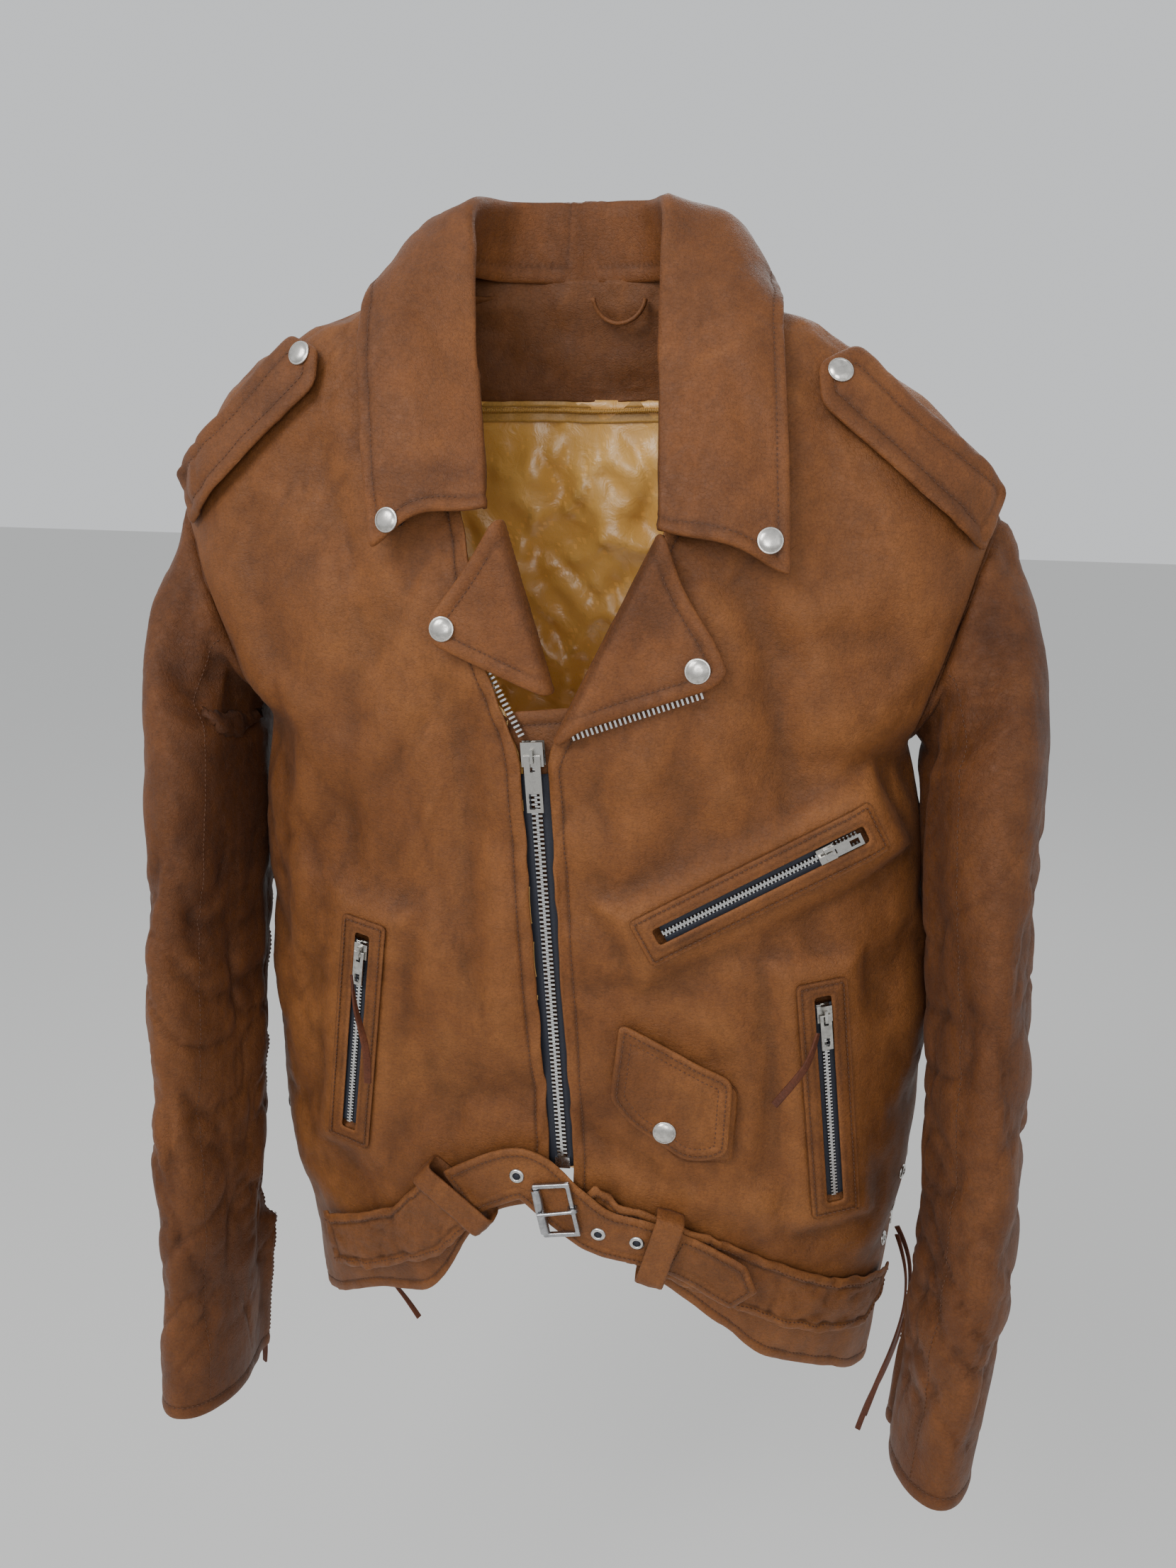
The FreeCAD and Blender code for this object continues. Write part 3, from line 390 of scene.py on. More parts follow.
TAN = (0.235, 0.087, 0.024), (0.180, 0.063, 0.017), (0.132, 0.044, 0.0115)
SLEEVE_TAN = (0.160, 0.056, 0.0155), (0.110, 0.036, 0.0095), (0.070, 0.0215, 0.0052)
TRIM_TAN = (0.215, 0.077, 0.0215), (0.163, 0.056, 0.0155), (0.114, 0.038, 0.010)
MATERIALS = {
    "body_leather": leather_material("hide_tan", *TAN),
    "sleeve_leather": leather_material("hide_sleeve", *SLEEVE_TAN, creases=1.5),
    "collar_leather": leather_material("hide_collar", *TRIM_TAN),
    "belt_leather": leather_material("hide_belt", *TAN, creases=1.5),
    "facing_leather": leather_material("hide_facing", (0.25, 0.096, 0.031), (0.19, 0.070, 0.022),
                                       (0.13, 0.045, 0.014), creases=0.8),
    "lace_leather": leather_material("hide_lace", (0.33, 0.10, 0.042), (0.23, 0.066, 0.028),
                                     (0.13, 0.036, 0.016)),
    "lining_satin": satin_material("satin_gold", (0.95, 0.54, 0.145), (0.76, 0.385, 0.082)),
    "zip_tape": plain_material("tape_navy", (0.014, 0.016, 0.026), 0.75, cell=1500, depth=0.12),
    "liner_coil": plain_material("coil_gold", (0.50, 0.27, 0.06), 0.42, cell=900, depth=0.05),
    "zip_teeth": plain_material("teeth_metal", (0.80, 0.80, 0.79), 0.26, 1.0, 0.08),
    "zip_metal": plain_material("slider_metal", (0.62, 0.60, 0.56), 0.30, 1.0, 0.12, 250),
    "snap_nickel": plain_material("snap_metal", (0.72, 0.69, 0.64), 0.28, 1.0, 0.12, 300),
    "eyelet_nickel": plain_material("eyelet_metal", (0.70, 0.69, 0.66), 0.27, 1.0, 0.1, 300),
    "buckle_steel": plain_material("buckle_metal", (0.50, 0.50, 0.51), 0.30, 1.0, 0.12, 200),
}
THREAD_BROWN = plain_material("thread_brown", (0.105, 0.040, 0.016), 0.7, cell=2500, depth=0.1)


# ================================================================= meshes
def make_piece(name, points, faces, slot, indices=None, materials=None, shade=None):
    """Mesh object with a material per face and a shade per point."""
    mesh = bpy.data.meshes.new(name)
    mesh.from_pydata([tuple(p) for p in points], [], faces)
    for material in materials or [MATERIALS[slot]]:
        mesh.materials.append(material)
    if indices is not None:
        mesh.polygons.foreach_set("material_index", np.asarray(indices, np.int32))
    mesh.polygons.foreach_set("use_smooth", np.ones(len(mesh.polygons), bool))
    attribute = mesh.attributes.new("shade", "FLOAT", "POINT")
    values = np.full(len(points), 0.5, np.float32) if shade is None else shade
    attribute.data.foreach_set("value", np.asarray(values, np.float32))
    mesh.update()
    piece = bpy.data.objects.new(name, mesh)
    bpy.context.scene.collection.objects.link(piece)
    return piece


def stitch_rows(lines, pitch=STITCH_PITCH, length=STITCH_LENGTH, radius=THREAD):
    """Points and faces of the stitches along (points, normals) lines."""
    heights = np.array([-0.9, 0.55, 0.75, 0.55, -0.9]) * radius
    widths = np.array([0.55, 1.0, 1.0, 1.0, 0.55]) * radius
    sides = 5
    angles = np.arange(sides) * 2 * math.pi / sides
    points, faces = [], []
    for line, normals in lines:
        total = length_of(line)
        count = int(total / pitch)
        if count < 1:
            continue
        starts = (np.arange(count) + 0.5) * total / count - length / 2
        places = starts[:, None] + np.linspace(0, length, 5)[None]
        where = at_lengths(line, places.ravel())
        s = np.concatenate([[0.0], np.cumsum(np.linalg.norm(np.diff(line, axis=0), axis=1))])
        up = np.stack([np.interp(places.ravel(), s, normals[:, k]) for k in range(3)], axis=1)
        up = unit(up)
        ends = at_lengths(line, np.repeat(starts + length, 5)) - at_lengths(
            line, np.repeat(starts, 5))
        run = unit(ends)
        side = unit(np.cross(up, run))
        lift = np.tile(heights, count)[:, None]
        wide = np.tile(widths, count)[:, None]
        centre = where + up * lift
        first = len(points)
        rings = [centre + (side * math.cos(a) + up * math.sin(a)) * wide for a in angles]
        rings = np.stack(rings, axis=1).reshape(-1, 3)
        points += list(rings)
        for stitch in range(count):
            base = first + stitch * 5 * sides
            for ring in range(4):
                for k in range(sides):
                    a = base + ring * sides + k
                    b = base + ring * sides + (k + 1) % sides
                    faces.append([a, b, b + sides, a + sides])
            faces.append([base + k for k in reversed(range(sides))])
            faces.append([base + 4 * sides + k for k in range(sides)])
    return points, faces


def add_stitches(points, faces, indices, shade, lines):
    """Join stitches to a piece's lists, with material 1."""
    more, more_faces = stitch_rows(lines)
    first = len(points)
    points = list(points) + more
    faces = faces + [[first + index for index in face] for face in more_faces]
    indices = list(indices) + [1] * len(more_faces)
    shade = np.concatenate([shade, np.full(len(more), 0.5)])
    return points, faces, indices, shade


def edge_profile(distance, thickness, puff=0.5 * MM, groove=0.55 * MM):
    """Height of the outer face over the middle of a turned edge, at a distance from it."""
    radius = thickness * 0.75
    round_off = np.sqrt(np.clip(1 - (1 - np.clip(distance / radius, 0, 1)) ** 2, 0.006, 1))
    swell = puff * np.exp(-(((distance - 4.2 * MM) / (3.0 * MM)) ** 2))
    sunk = groove * np.exp(-(((distance - STITCH_INSET) / (1.1 * MM)) ** 2))
    return round_off * (thickness / 2) + swell * (distance > 0) - sunk


def edge_distances(grid, turned, closed=False):
    """Distance of each grid point from the nearest turned edge. turned is (first row, last row,
    first column, last column)."""
    down = np.linalg.norm(np.diff(grid, axis=0), axis=2)
    down = np.concatenate([np.zeros((1, grid.shape[1])), np.cumsum(down, axis=0)])
    distance = np.full(grid.shape[:2], 1.0)
    if turned[0]:
        distance = np.minimum(distance, down)
    if turned[1]:
        distance = np.minimum(distance, down[-1:] - down)
    if not closed:
        across = np.linalg.norm(np.diff(grid, axis=1), axis=2)
        across = np.concatenate([np.zeros((grid.shape[0], 1)), np.cumsum(across, axis=1)], axis=1)
        if turned[2]:
            distance = np.minimum(distance, across)
        if turned[3]:
            distance = np.minimum(distance, across[:, -1:] - across)
    return distance


def shell_faces(rows, columns, closed=False, flip=False):
    """Faces of a sheet with an outer and an inner grid of points, and its rims."""
    count = rows * columns
    faces = []
    wide = columns if closed else columns - 1
    for i in range(rows - 1):
        for j in range(wide):
            a, b = i * columns + j, i * columns + (j + 1) % columns
            c, d = b + columns, a + columns
            faces.append([a, b, c, d])
            faces.append([count + d, count + c, count + b, count + a])
    for j in range(wide):
        a, b = j, (j + 1) % columns
        faces.append([b, a, count + a, count + b])
        a, b = (rows - 1) * columns + j, (rows - 1) * columns + (j + 1) % columns
        faces.append([a, b, count + b, count + a])
    if not closed:
        for i in range(rows - 1):
            a, d = i * columns, (i + 1) * columns
            faces.append([a, d, count + d, count + a])
            a, d = a + columns - 1, d + columns - 1
            faces.append([d, a, count + a, count + d])
    return [face[::-1] for face in faces] if flip else faces


def crease_shade(grid, normals, closed=False):
    """Shade from 0 in a valley to 1 on a ridge, with 0.5 for a flat place."""
    far = soften(grid, 6, closed) - grid
    bend = -(far * normals).sum(axis=2) / (1.6 * MM)
    return np.clip(0.5 + 0.36 * bend, 0.26, 0.76)


def leather_sheet(name, slot, grid, sign, thickness=LEATHER, turned=(0, 0, 0, 0), seams=(),
                  closed=False, puff=0.5 * MM, shade_by=None):
    """Leather panel with turned, stitched edges. seams are (axis, index, from, to) grid lines to
    stitch along."""
    normals = grid_normals(grid, sign, closed)
    distance = edge_distances(grid, turned, closed)
    height = edge_profile(distance, thickness, puff)
    for axis, index, _, _ in seams:
        line = grid[:, index] if axis == 0 else grid[index]
        away = np.linalg.norm(grid - (line[:, None] if axis == 0 else line[None]), axis=2)
        if not any(turned):
            height = height - 0.5 * MM * np.exp(-((away / (1.1 * MM)) ** 2))
    pucker = noise(grid, mm(6, 6, 6), 5) * 0.35 * MM
    near_seam = np.exp(-(((distance - STITCH_INSET) / (6 * MM)) ** 2))
    height = height + pucker * near_seam
    middle = grid - normals * thickness / 2
    outer = middle + normals * height[..., None]
    thin = edge_profile(distance, thickness, 0.0, 0.0)[..., None]
    inside = middle - normals * thin
    rows, columns = grid.shape[:2]
    points = np.concatenate([outer.reshape(-1, 3), inside.reshape(-1, 3)])
    faces = shell_faces(rows, columns, closed, flip=sign < 0)
    # painted shade in crease valleys and painted highlight on ridges
    shade = crease_shade(outer, normals, closed)
    # painted shade in the sunk stitch groove
    shade = shade - 0.30 * np.exp(-(((distance - STITCH_INSET) / (1.6 * MM)) ** 2))
    shade = shade + 0.25 * np.exp(-((distance / (2.2 * MM)) ** 2))
    if shade_by is not None:
        shade = shade + shade_by
    shade = np.clip(shade, 0, 1)
    shade = np.concatenate([shade.ravel(), np.full(rows * columns, 0.35)])
    indices = [0] * len(faces)
    lines = []
    for axis, index, first, last in seams:
        if axis == 0:
            lines.append((outer[first:last, index], normals[first:last, index]))
        else:
            lines.append((outer[index, first:last], normals[index, first:last]))
    points, faces, indices, shade = add_stitches(points, faces, indices, shade, lines)
    return make_piece(name, points, faces, slot, indices, [MATERIALS[slot], THREAD_BROWN], shade)


def settle(grid, pins, grow, frames, cap, stiff=4.0, closed=False, stride=3):
    """Let a grid hang as cloth from its pinned points, and move it by no more than cap."""
    rows = sorted(set(list(range(0, grid.shape[0], stride)) + [grid.shape[0] - 1]))
    columns = list(range(0, grid.shape[1], stride))
    if not closed:
        columns = sorted(set(columns + [grid.shape[1] - 1]))
    coarse = grid[rows][:, columns]
    count = len(columns)
    wide = count if closed else count - 1
    faces = [
        [i * count + j, i * count + (j + 1) % count, (i + 1) * count + (j + 1) % count,
         (i + 1) * count + j]
        for i in range(len(rows) - 1) for j in range(wide)
    ]
    mesh = bpy.data.meshes.new("hanging")
    mesh.from_pydata([tuple(p) for p in coarse.reshape(-1, 3)], [], faces)
    cloth = bpy.data.objects.new("hanging", mesh)
    bpy.context.scene.collection.objects.link(cloth)
    group = cloth.vertex_groups.new(name="pins")
    for index, weight in enumerate(pins[rows][:, columns].ravel()):
        group.add([index], float(weight), "REPLACE")
    modifier = cloth.modifiers.new("cloth", "CLOTH")
    settings = modifier.settings
    settings.quality = 5
    settings.mass = 0.25
    settings.tension_stiffness = 18
    settings.compression_stiffness = 14
    settings.shear_stiffness = 6
    settings.bending_stiffness = stiff
    settings.tension_damping = 12
    settings.compression_damping = 12
    settings.air_damping = 4
    settings.shrink_min = -grow
    settings.vertex_group_mass = "pins"
    modifier.collision_settings.use_collision = False
    modifier.collision_settings.use_self_collision = False
    scene = bpy.context.scene
    for number in range(1, frames + 1):
        scene.frame_set(number)
    hung = cloth.evaluated_get(bpy.context.evaluated_depsgraph_get()).to_mesh()
    moved = np.empty(len(hung.vertices) * 3)
    hung.vertices.foreach_get("co", moved)
    moved = moved.reshape(coarse.shape) - coarse
    scene.frame_set(1)
    bpy.data.objects.remove(cloth)
    size = np.linalg.norm(moved, axis=2, keepdims=True)
    moved = moved * np.minimum(1.0, cap / np.maximum(size, 1e-9))
    full_rows = np.arange(grid.shape[0])
    full_columns = np.arange(grid.shape[1])
    if closed:
        columns = columns + [grid.shape[1]]
        moved = np.concatenate([moved, moved[:, :1]], axis=1)
    wide_field = np.stack(
        [[np.interp(full_columns, columns, line[:, k]) for line in moved] for k in range(3)], -1)
    field = np.stack(
        [np.array([np.interp(full_rows, rows, wide_field[:, j, k])
                   for j in range(grid.shape[1])]).T for k in range(3)], -1)
    return grid + soften(field, 3, closed)


# ================================================================= flat shapes on a surface
def rounded(outline, radius):
    """Outline with each corner rounded, as close-set points. Corners are (x, y) or (x, y, radius)."""
    points = []
    count = len(outline)
    for index in range(count):
        before = np.array(outline[index - 1][:2], float)
        corner = np.array(outline[index][:2], float)
        after = np.array(outline[(index + 1) % count][:2], float)
        own = outline[index][2] if len(outline[index]) > 2 else radius
        back, ahead = before - corner, after - corner
        reach = min(own, 0.45 * np.linalg.norm(back), 0.45 * np.linalg.norm(ahead))
        start = corner + unit(back) * reach
        end = corner + unit(ahead) * reach
        for t in np.linspace(0, 1, 7):
            points.append((1 - t) ** 2 * start + 2 * t * (1 - t) * corner + t * t * end)
    return np.array(points)


def evenly(loop, step):
    """Closed loop of points at even steps."""
    closed = np.vstack([loop, loop[:1]])
    s = np.concatenate([[0.0], np.cumsum(np.linalg.norm(np.diff(closed, axis=0), axis=1))])
    count = max(8, int(s[-1] / step))
    places = np.linspace(0, s[-1], count, endpoint=False)
    return np.stack([np.interp(places, s, closed[:, k]) for k in range(2)], axis=1)


def loop_distance(points, loop):
    """Distance of 2-D points from a closed loop, positive inside it."""
    start, end = loop, np.roll(loop, -1, axis=0)
    span = end - start
    best = np.full(len(points), 9.0)
    inside = np.zeros(len(points), bool)
    for a, b, d in zip(start, end, span):
        share = np.clip(((points - a) @ d) / max(d @ d, 1e-18), 0, 1)
        gap = points - (a + share[:, None] * d)
        best = np.minimum(best, np.hypot(gap[:, 0], gap[:, 1]))
        crosses = (a[1] > points[:, 1]) != (b[1] > points[:, 1])
        if abs(d[1]) > 1e-15:
            inside ^= crosses & (points[:, 0] < d[0] * (points[:, 1] - a[1]) / d[1] + a[0])
    return np.where(inside, best, -best)


def inset(loop, distance):
    """Loop moved inwards, without the points that would cross over."""
    tangent = unit(np.roll(loop, -1, axis=0) - np.roll(loop, 1, axis=0))
    area = 0.5 * np.sum(loop[:, 0] * np.roll(loop[:, 1], -1) - np.roll(loop[:, 0], -1) * loop[:, 1])
    inward = np.stack([-tangent[:, 1], tangent[:, 0]], axis=1) * math.copysign(1, area)
    moved = loop + inward * distance
    keep = np.abs(loop_distance(moved, loop)) > abs(distance) * 0.97
    return moved[keep]


def patch(name, slot, outline, surface, thickness=TRIM, holes=(), step=3.5 * MM, puff=0.5 * MM,
          lip=0.0, stitches=(STITCH_INSET,), open_where=None, roll=True, groove=0.55 * MM,
          crinkle=0.0, seed=1, materials=None, sink=0.0, flush=None):
    """Leather shape with turned, stitched edges. surface maps (N, 2) to points and outward normals.
    open_where leaves out stitches where it is true of a point of the outline's plane, and flush
    leaves the edge there unturned, for a seam."""
    rings = [d for d in (0, 0.3, 0.9, 1.8, 3.2, 5.2, 7.4, 8.3, 9.0, 9.8, 11.5)]
    if not stitches:
        rings = [0, 0.3, 0.9, 1.8, 3.2]
    loops = [evenly(outline, 1.8 * MM)] + [evenly(hole, 1.5 * MM) for hole in holes]
    flat = []
    edges = []
    for index, loop in enumerate(loops):
        first = len(flat)
        flat += list(loop)
        edges += [(first + k, first + (k + 1) % len(loop)) for k in range(len(loop))]
    for distance in rings[1:]:
        for index, loop in enumerate(loops):
            ring = inset(loop, (distance if index == 0 else -distance) * MM)
            if len(ring):
                flat += list(ring[:: 2 if distance > 3 else 1])
    low, high = loops[0].min(axis=0), loops[0].max(axis=0)
    xs = np.arange(low[0], high[0], step)
    ys = np.arange(low[1], high[1], step * 0.866)
    inner = np.array([(x + (row % 2) * step / 2, y) for row, y in enumerate(ys) for x in xs])
    if len(inner):
        gap = loop_distance(inner, loops[0])
        for hole in loops[1:]:
            gap = np.minimum(gap, -loop_distance(inner, hole))
        flat += list(inner[gap > (rings[-1] + 1.5) * MM])
    flat = np.array(flat)
    result = delaunay_2d_cdt([Vector(p) for p in flat], edges, [], 0, 1e-7)
    flat = np.array([tuple(p) for p in result[0]])
    triangles = np.array(result[2])
    middles = flat[triangles].mean(axis=1)
    keep = loop_distance(middles, loops[0]) > 0
    distance = np.abs(loop_distance(flat, loops[0]))
    hole_distance = np.full(len(flat), 1.0)
    for hole in loops[1:]:
        keep &= loop_distance(middles, hole) < 0
        hole_distance = np.minimum(hole_distance, np.abs(loop_distance(flat, hole)))
    triangles = triangles[keep]
    if flush is not None:
        distance = np.where(flush(flat), 1.0, distance)
    nearest = np.minimum(distance, hole_distance)
    base, normals = surface(flat)
    if roll:
        height = edge_profile(nearest, thickness, puff, groove if stitches else 0.0)
    else:
        height = np.where(nearest < 0.2 * MM, 0.3, 1.0) * thickness / 2
    height = height + crinkle * noise(base, 16 * MM, seed) + 0.5 * crinkle * noise(
        base, 7 * MM, seed + 1)
    if sink:
        height = height - sink * (1 - smooth(distance, 0.0, 7 * MM))
    if lip:
        height = height + lip * np.exp(-(((hole_distance - 2.5 * MM) / (2.6 * MM)) ** 2))
    middle = base + normals * thickness / 2
    outer = middle + normals * height[:, None]
    thin = np.sqrt(np.clip(1 - (1 - np.clip(nearest / (thickness * 0.75), 0, 1)) ** 2, 0.006, 1))
    inside = middle - normals * (thin * thickness / 2)[:, None]
    count = len(flat)
    facing = np.cross(outer[triangles[:, 1]] - outer[triangles[:, 0]],
                      outer[triangles[:, 2]] - outer[triangles[:, 0]])
    flip = (facing * normals[triangles[:, 0]]).sum() < 0
    if flip:
        triangles = triangles[:, ::-1]
    faces = [list(map(int, t)) for t in triangles]
    faces += [[count + int(k) for k in t[::-1]] for t in triangles]
    sides = {}
    for t in triangles:
        for k in range(3):
            pair = (int(t[k]), int(t[(k + 1) % 3]))
            sides[pair] = True
    for a, b in sides:
        if (b, a) not in sides:
            faces.append([b, a, count + a, count + b])
    shade = 0.5 + 0.2 * noise(base, 30 * MM, seed + 3)
    shade = shade + 0.25 * np.exp(-((nearest / (2.0 * MM)) ** 2))
    # painted shade in the sunk stitch groove
    if stitches:
        shade = shade - 0.28 * np.exp(-(((nearest - stitches[0]) / (1.6 * MM)) ** 2))
    shade = np.concatenate([np.clip(shade, 0, 1), np.full(count, 0.35)])
    lines = []
    for distance_in in stitches:
        for index, loop in enumerate(loops[:1]):
            ring = inset(evenly(loop, 1.2 * MM), distance_in)
            ring = np.vstack([ring, ring[:1]])
            runs = [ring]
            if open_where is not None:
                shut = ~open_where(ring)
                cuts = np.flatnonzero(np.diff(shut.astype(int)))
                runs = [part for part in np.split(ring, cuts + 1) if len(part) > 4
                        and not open_where(part[2:3])[0]]
            for run in runs:
                where, up = surface(run)
                depth = edge_profile(np.full(len(run), distance_in), thickness, puff, groove)
                depth = depth + crinkle * noise(where, 16 * MM, seed)
                depth = depth + 0.5 * crinkle * noise(where, 7 * MM, seed + 1)
                lines.append((where + up * (thickness / 2 + depth)[:, None], up))
    points = np.concatenate([outer, inside])
    indices = [0] * len(faces)
    points, faces, indices, shade = add_stitches(points, faces, indices, shade, lines)
    materials = materials or [MATERIALS[slot], THREAD_BROWN]
    return make_piece(name, points, faces, slot, indices, materials, shade)


# ================================================================= camera, floor and light
def make_stage():
    pitch, yaw, roll = (math.radians(angle) for angle in (18.25, 10.1, 0.6))
    ahead = Vector((-math.sin(yaw) * math.cos(pitch), math.cos(yaw) * math.cos(pitch),
                    -math.sin(pitch)))
    right = Vector((math.cos(yaw), math.sin(yaw), 0))
    up = right.cross(ahead)
    right, up = (right * math.cos(roll) + up * math.sin(roll),
                 up * math.cos(roll) - right * math.sin(roll))
    camera = bpy.data.objects.new("camera", bpy.data.cameras.new("camera"))
    camera.data.lens = 27.03
    camera.data.sensor_width = 36
    turned = Matrix((right, up, -ahead)).transposed().to_4x4()
    camera.matrix_world = Matrix.Translation((0.144, -0.783, -0.040)) @ turned
    bpy.context.scene.collection.objects.link(camera)
    bpy.context.scene.camera = camera

    floor_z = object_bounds()[0].z - 0.42
    mesh = bpy.data.meshes.new("floor")
    mesh.from_pydata([(x, y, floor_z) for x, y in ((-9, -9), (9, -9), (9, 9), (-9, 9))], [],
                     [(0, 1, 2, 3)])
    floor = bpy.data.objects.new("floor", mesh)
    bpy.context.scene.collection.objects.link(floor)
    s = Shader("floor_pale")
    s.set(Base_Color=(0.66, 0.655, 0.64), Roughness=0.7)
    mesh.materials.append(s.material)

    world = bpy.data.worlds.new("studio")
    world.use_nodes = True
    world.node_tree.nodes["Background"].inputs["Color"].default_value = (0.80, 0.82, 0.84, 1)
    world.node_tree.nodes["Background"].inputs["Strength"].default_value = 0.95
    bpy.context.scene.world = world
    lamps = (
        ("key", (-0.9, -1.5, 1.15), 1.0, 29),
        ("fill", (1.5, -1.3, 0.35), 1.4, 3),
        ("front", (0.25, -1.55, 0.15), 0.6, 6),
        ("rim", (0.3, 1.7, 1.0), 1.2, 12),
    )
    for name, place, size, power in lamps:
        lamp = bpy.data.objects.new(name, bpy.data.lights.new(name, "AREA"))
        lamp.data.size = size
        lamp.data.energy = power
        lamp.location = place
        aim = Vector((0, -0.02, -0.38)) - Vector(place)
        lamp.rotation_euler = aim.to_track_quat("-Z", "Y").to_euler()
        bpy.context.scene.collection.objects.link(lamp)


make_stage()


# ================================================================= ties and laces
CORDS = {
    "right_pull_tie": (
        ((-127, -132, -400), (-125, -136, -418), (-120, -137, -438), (-117, -137, -458),
         (-118, -137, -476)), 77.3, "right_pocket_puller"),
    "left_pull_tie": (
        ((173, -117, -417), (170, -124, -432), (160, -131, -446), (149, -134, -461)), 54.0,
        "left_pocket_puller"),
    "right_cuff_tie": (
        ((-247, -79, -741), (-245, -76, -756), (-242, -77, -772), (-243, -79, -787)), 46.7,
        "right_cuff_slider"),
    "left_side_lace": (
        ((247, -14, -632), (257, -18, -648), (261, -22, -680), (257, -27, -715),
         (248, -32, -748), (237, -36, -778), (231, -38, -806)), 182.3, "root"),
    "left_side_lace_end": (
        ((246, -26, -630), (254, -34, -648), (256, -38, -682), (250, -42, -718),
         (241, -44, -752), (234, -45, -784)), 159.8, "root"),
    "right_side_lace": (
        ((-160, -40, -690), (-154, -42, -706), (-144, -44, -722), (-131, -45, -738),
         (-122, -46, -752)), 73.4, "root"),
}
STRIP_THICK = 1.7 * MM


def make_cords():
    for name, (route, length, body) in CORDS.items():
        wide = (5.0 if "tie" in name else 4.4) * MM
        curve = bpy.data.curves.new(name, "CURVE")
        curve.dimensions = "3D"
        curve.bevel_depth = STRIP_THICK / 2
        curve.extrude = (wide - STRIP_THICK) / 2
        curve.bevel_resolution = 2
        curve.resolution_u = 10
        curve.twist_smooth = 3
        curve.use_fill_caps = True
        spline = curve.splines.new("NURBS")
        spline.points.add(len(route) - 1)
        for index, (point, spot) in enumerate(zip(spline.points, route)):
            point.co = (*mm(*spot), 1)
            point.tilt = 0.5 * index
        spline.order_u = 3
        spline.use_endpoint_u = True
        curve.materials.append(MATERIALS["lace_leather"])
        strip = bpy.data.objects.new(f"{name}_strip", curve)
        bpy.context.scene.collection.objects.link(strip)
        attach(strip, body)
        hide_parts(name)


make_cords()


# ================================================================= body
ROW_TOP = 0.0255
LAP_Z = -0.520                      # below it the rows follow the hem


def from_outside(tree, angle, z, reach=0.7):
    """Outermost point of a node at one angle and height, or None."""
    way = Vector((math.cos(angle), -math.sin(angle), 0))
    hit = tree.ray_cast(Vector((0, AXIS_Y, z)) + way * reach, -way, reach - 0.001)
    return hit[0]


def angle_span(tree, z, low, high):
    """First and last angle at which a ray meets the node at one height."""
    steps = np.linspace(low, high, 90)
    met = [k for k, angle in enumerate(steps) if from_outside(tree, angle, z)]
    if not met:
        return None
    ends = []
    for inside, outside in ((met[0], met[0] - 1), (met[-1], met[-1] + 1)):
        good = steps[inside]
        if not 0 <= outside < len(steps):
            ends.append(good)
            continue
        bad = steps[outside]
        for _ in range(14):
            middle = (good + bad) / 2
            if from_outside(tree, middle, z):
                good = middle
            else:
                bad = middle
        ends.append(good)
    return ends


def lowest(tree, angle, start):
    """Lowest height of the node at one angle."""
    good = start
    while from_outside(tree, angle, good - 0.006):
        good -= 0.006
    bad = good - 0.006
    for _ in range(12):
        middle = (good + bad) / 2
        if from_outside(tree, angle, middle):
            good = middle
        else:
            bad = middle
    return good


def panel_grid(tree, low, high, backwards):
    """Grid over a body panel: rows from hem to neck, columns from one edge to the other."""
    shares = np.linspace(0, 1, 41)
    heights = list(np.arange(LAP_Z, -0.115, 0.011))
    heights += list(np.arange(-0.112, -0.02, 0.006)) + list(np.arange(-0.02, ROW_TOP, 0.0022))
    rows = []
    spans = {}
    for z in heights:
        spans[z] = angle_span(tree, z, low, high)
    first = spans[heights[0]]
    if backwards:
        shares = shares[::-1]
    feet = []
    for share in shares:
        angle = first[0] + share * (first[1] - first[0])
        angle = min(max(angle, first[0] + 1e-4), first[1] - 1e-4)
        feet.append((angle, lowest(tree, angle, LAP_Z)))
    for lift in np.linspace(0, 1, 20)[:-1]:
        row = []
        for angle, foot in feet:
            z = foot + lift * (LAP_Z - foot) + 2e-5
            point = from_outside(tree, angle, z)
            row.append(tuple(point) if point else row[-1])
        rows.append(row)
    for z in heights:
        start, end = spans[z]
        row = []
        for share in shares:
            angle = start + share * (end - start)
            angle = min(max(angle, start + 1e-5), end - 1e-5)
            point = from_outside(tree, angle, z)
            row.append(tuple(point) if point else row[-1])
        rows.append(row)
    return np.array(rows)


def along_folds(points, folds):
    """Depth of listed folds. Each is (x, z) to (x, z), its width and its height, in mm."""
    x, z = points[..., 0], points[..., 2]
    depth = np.zeros(x.shape)
    for x0, z0, x1, z1, width, height in folds:
        start, end = mm(x0, z0), mm(x1, z1)
        span = end - start
        length = np.linalg.norm(span)
        share = ((x - start[0]) * span[0] + (z - start[1]) * span[1]) / length**2
        kept = np.clip(share, 0, 1)
        away = np.hypot(x - start[0] - kept * span[0], z - start[1] - kept * span[1])
        taper = smooth(1 - np.abs(2 * np.clip(share, -0.3, 1.3) - 1) / 1.6, 0, 0.55)
        depth += height * MM * taper * np.exp(-((away / (width * MM)) ** 2))
    return depth


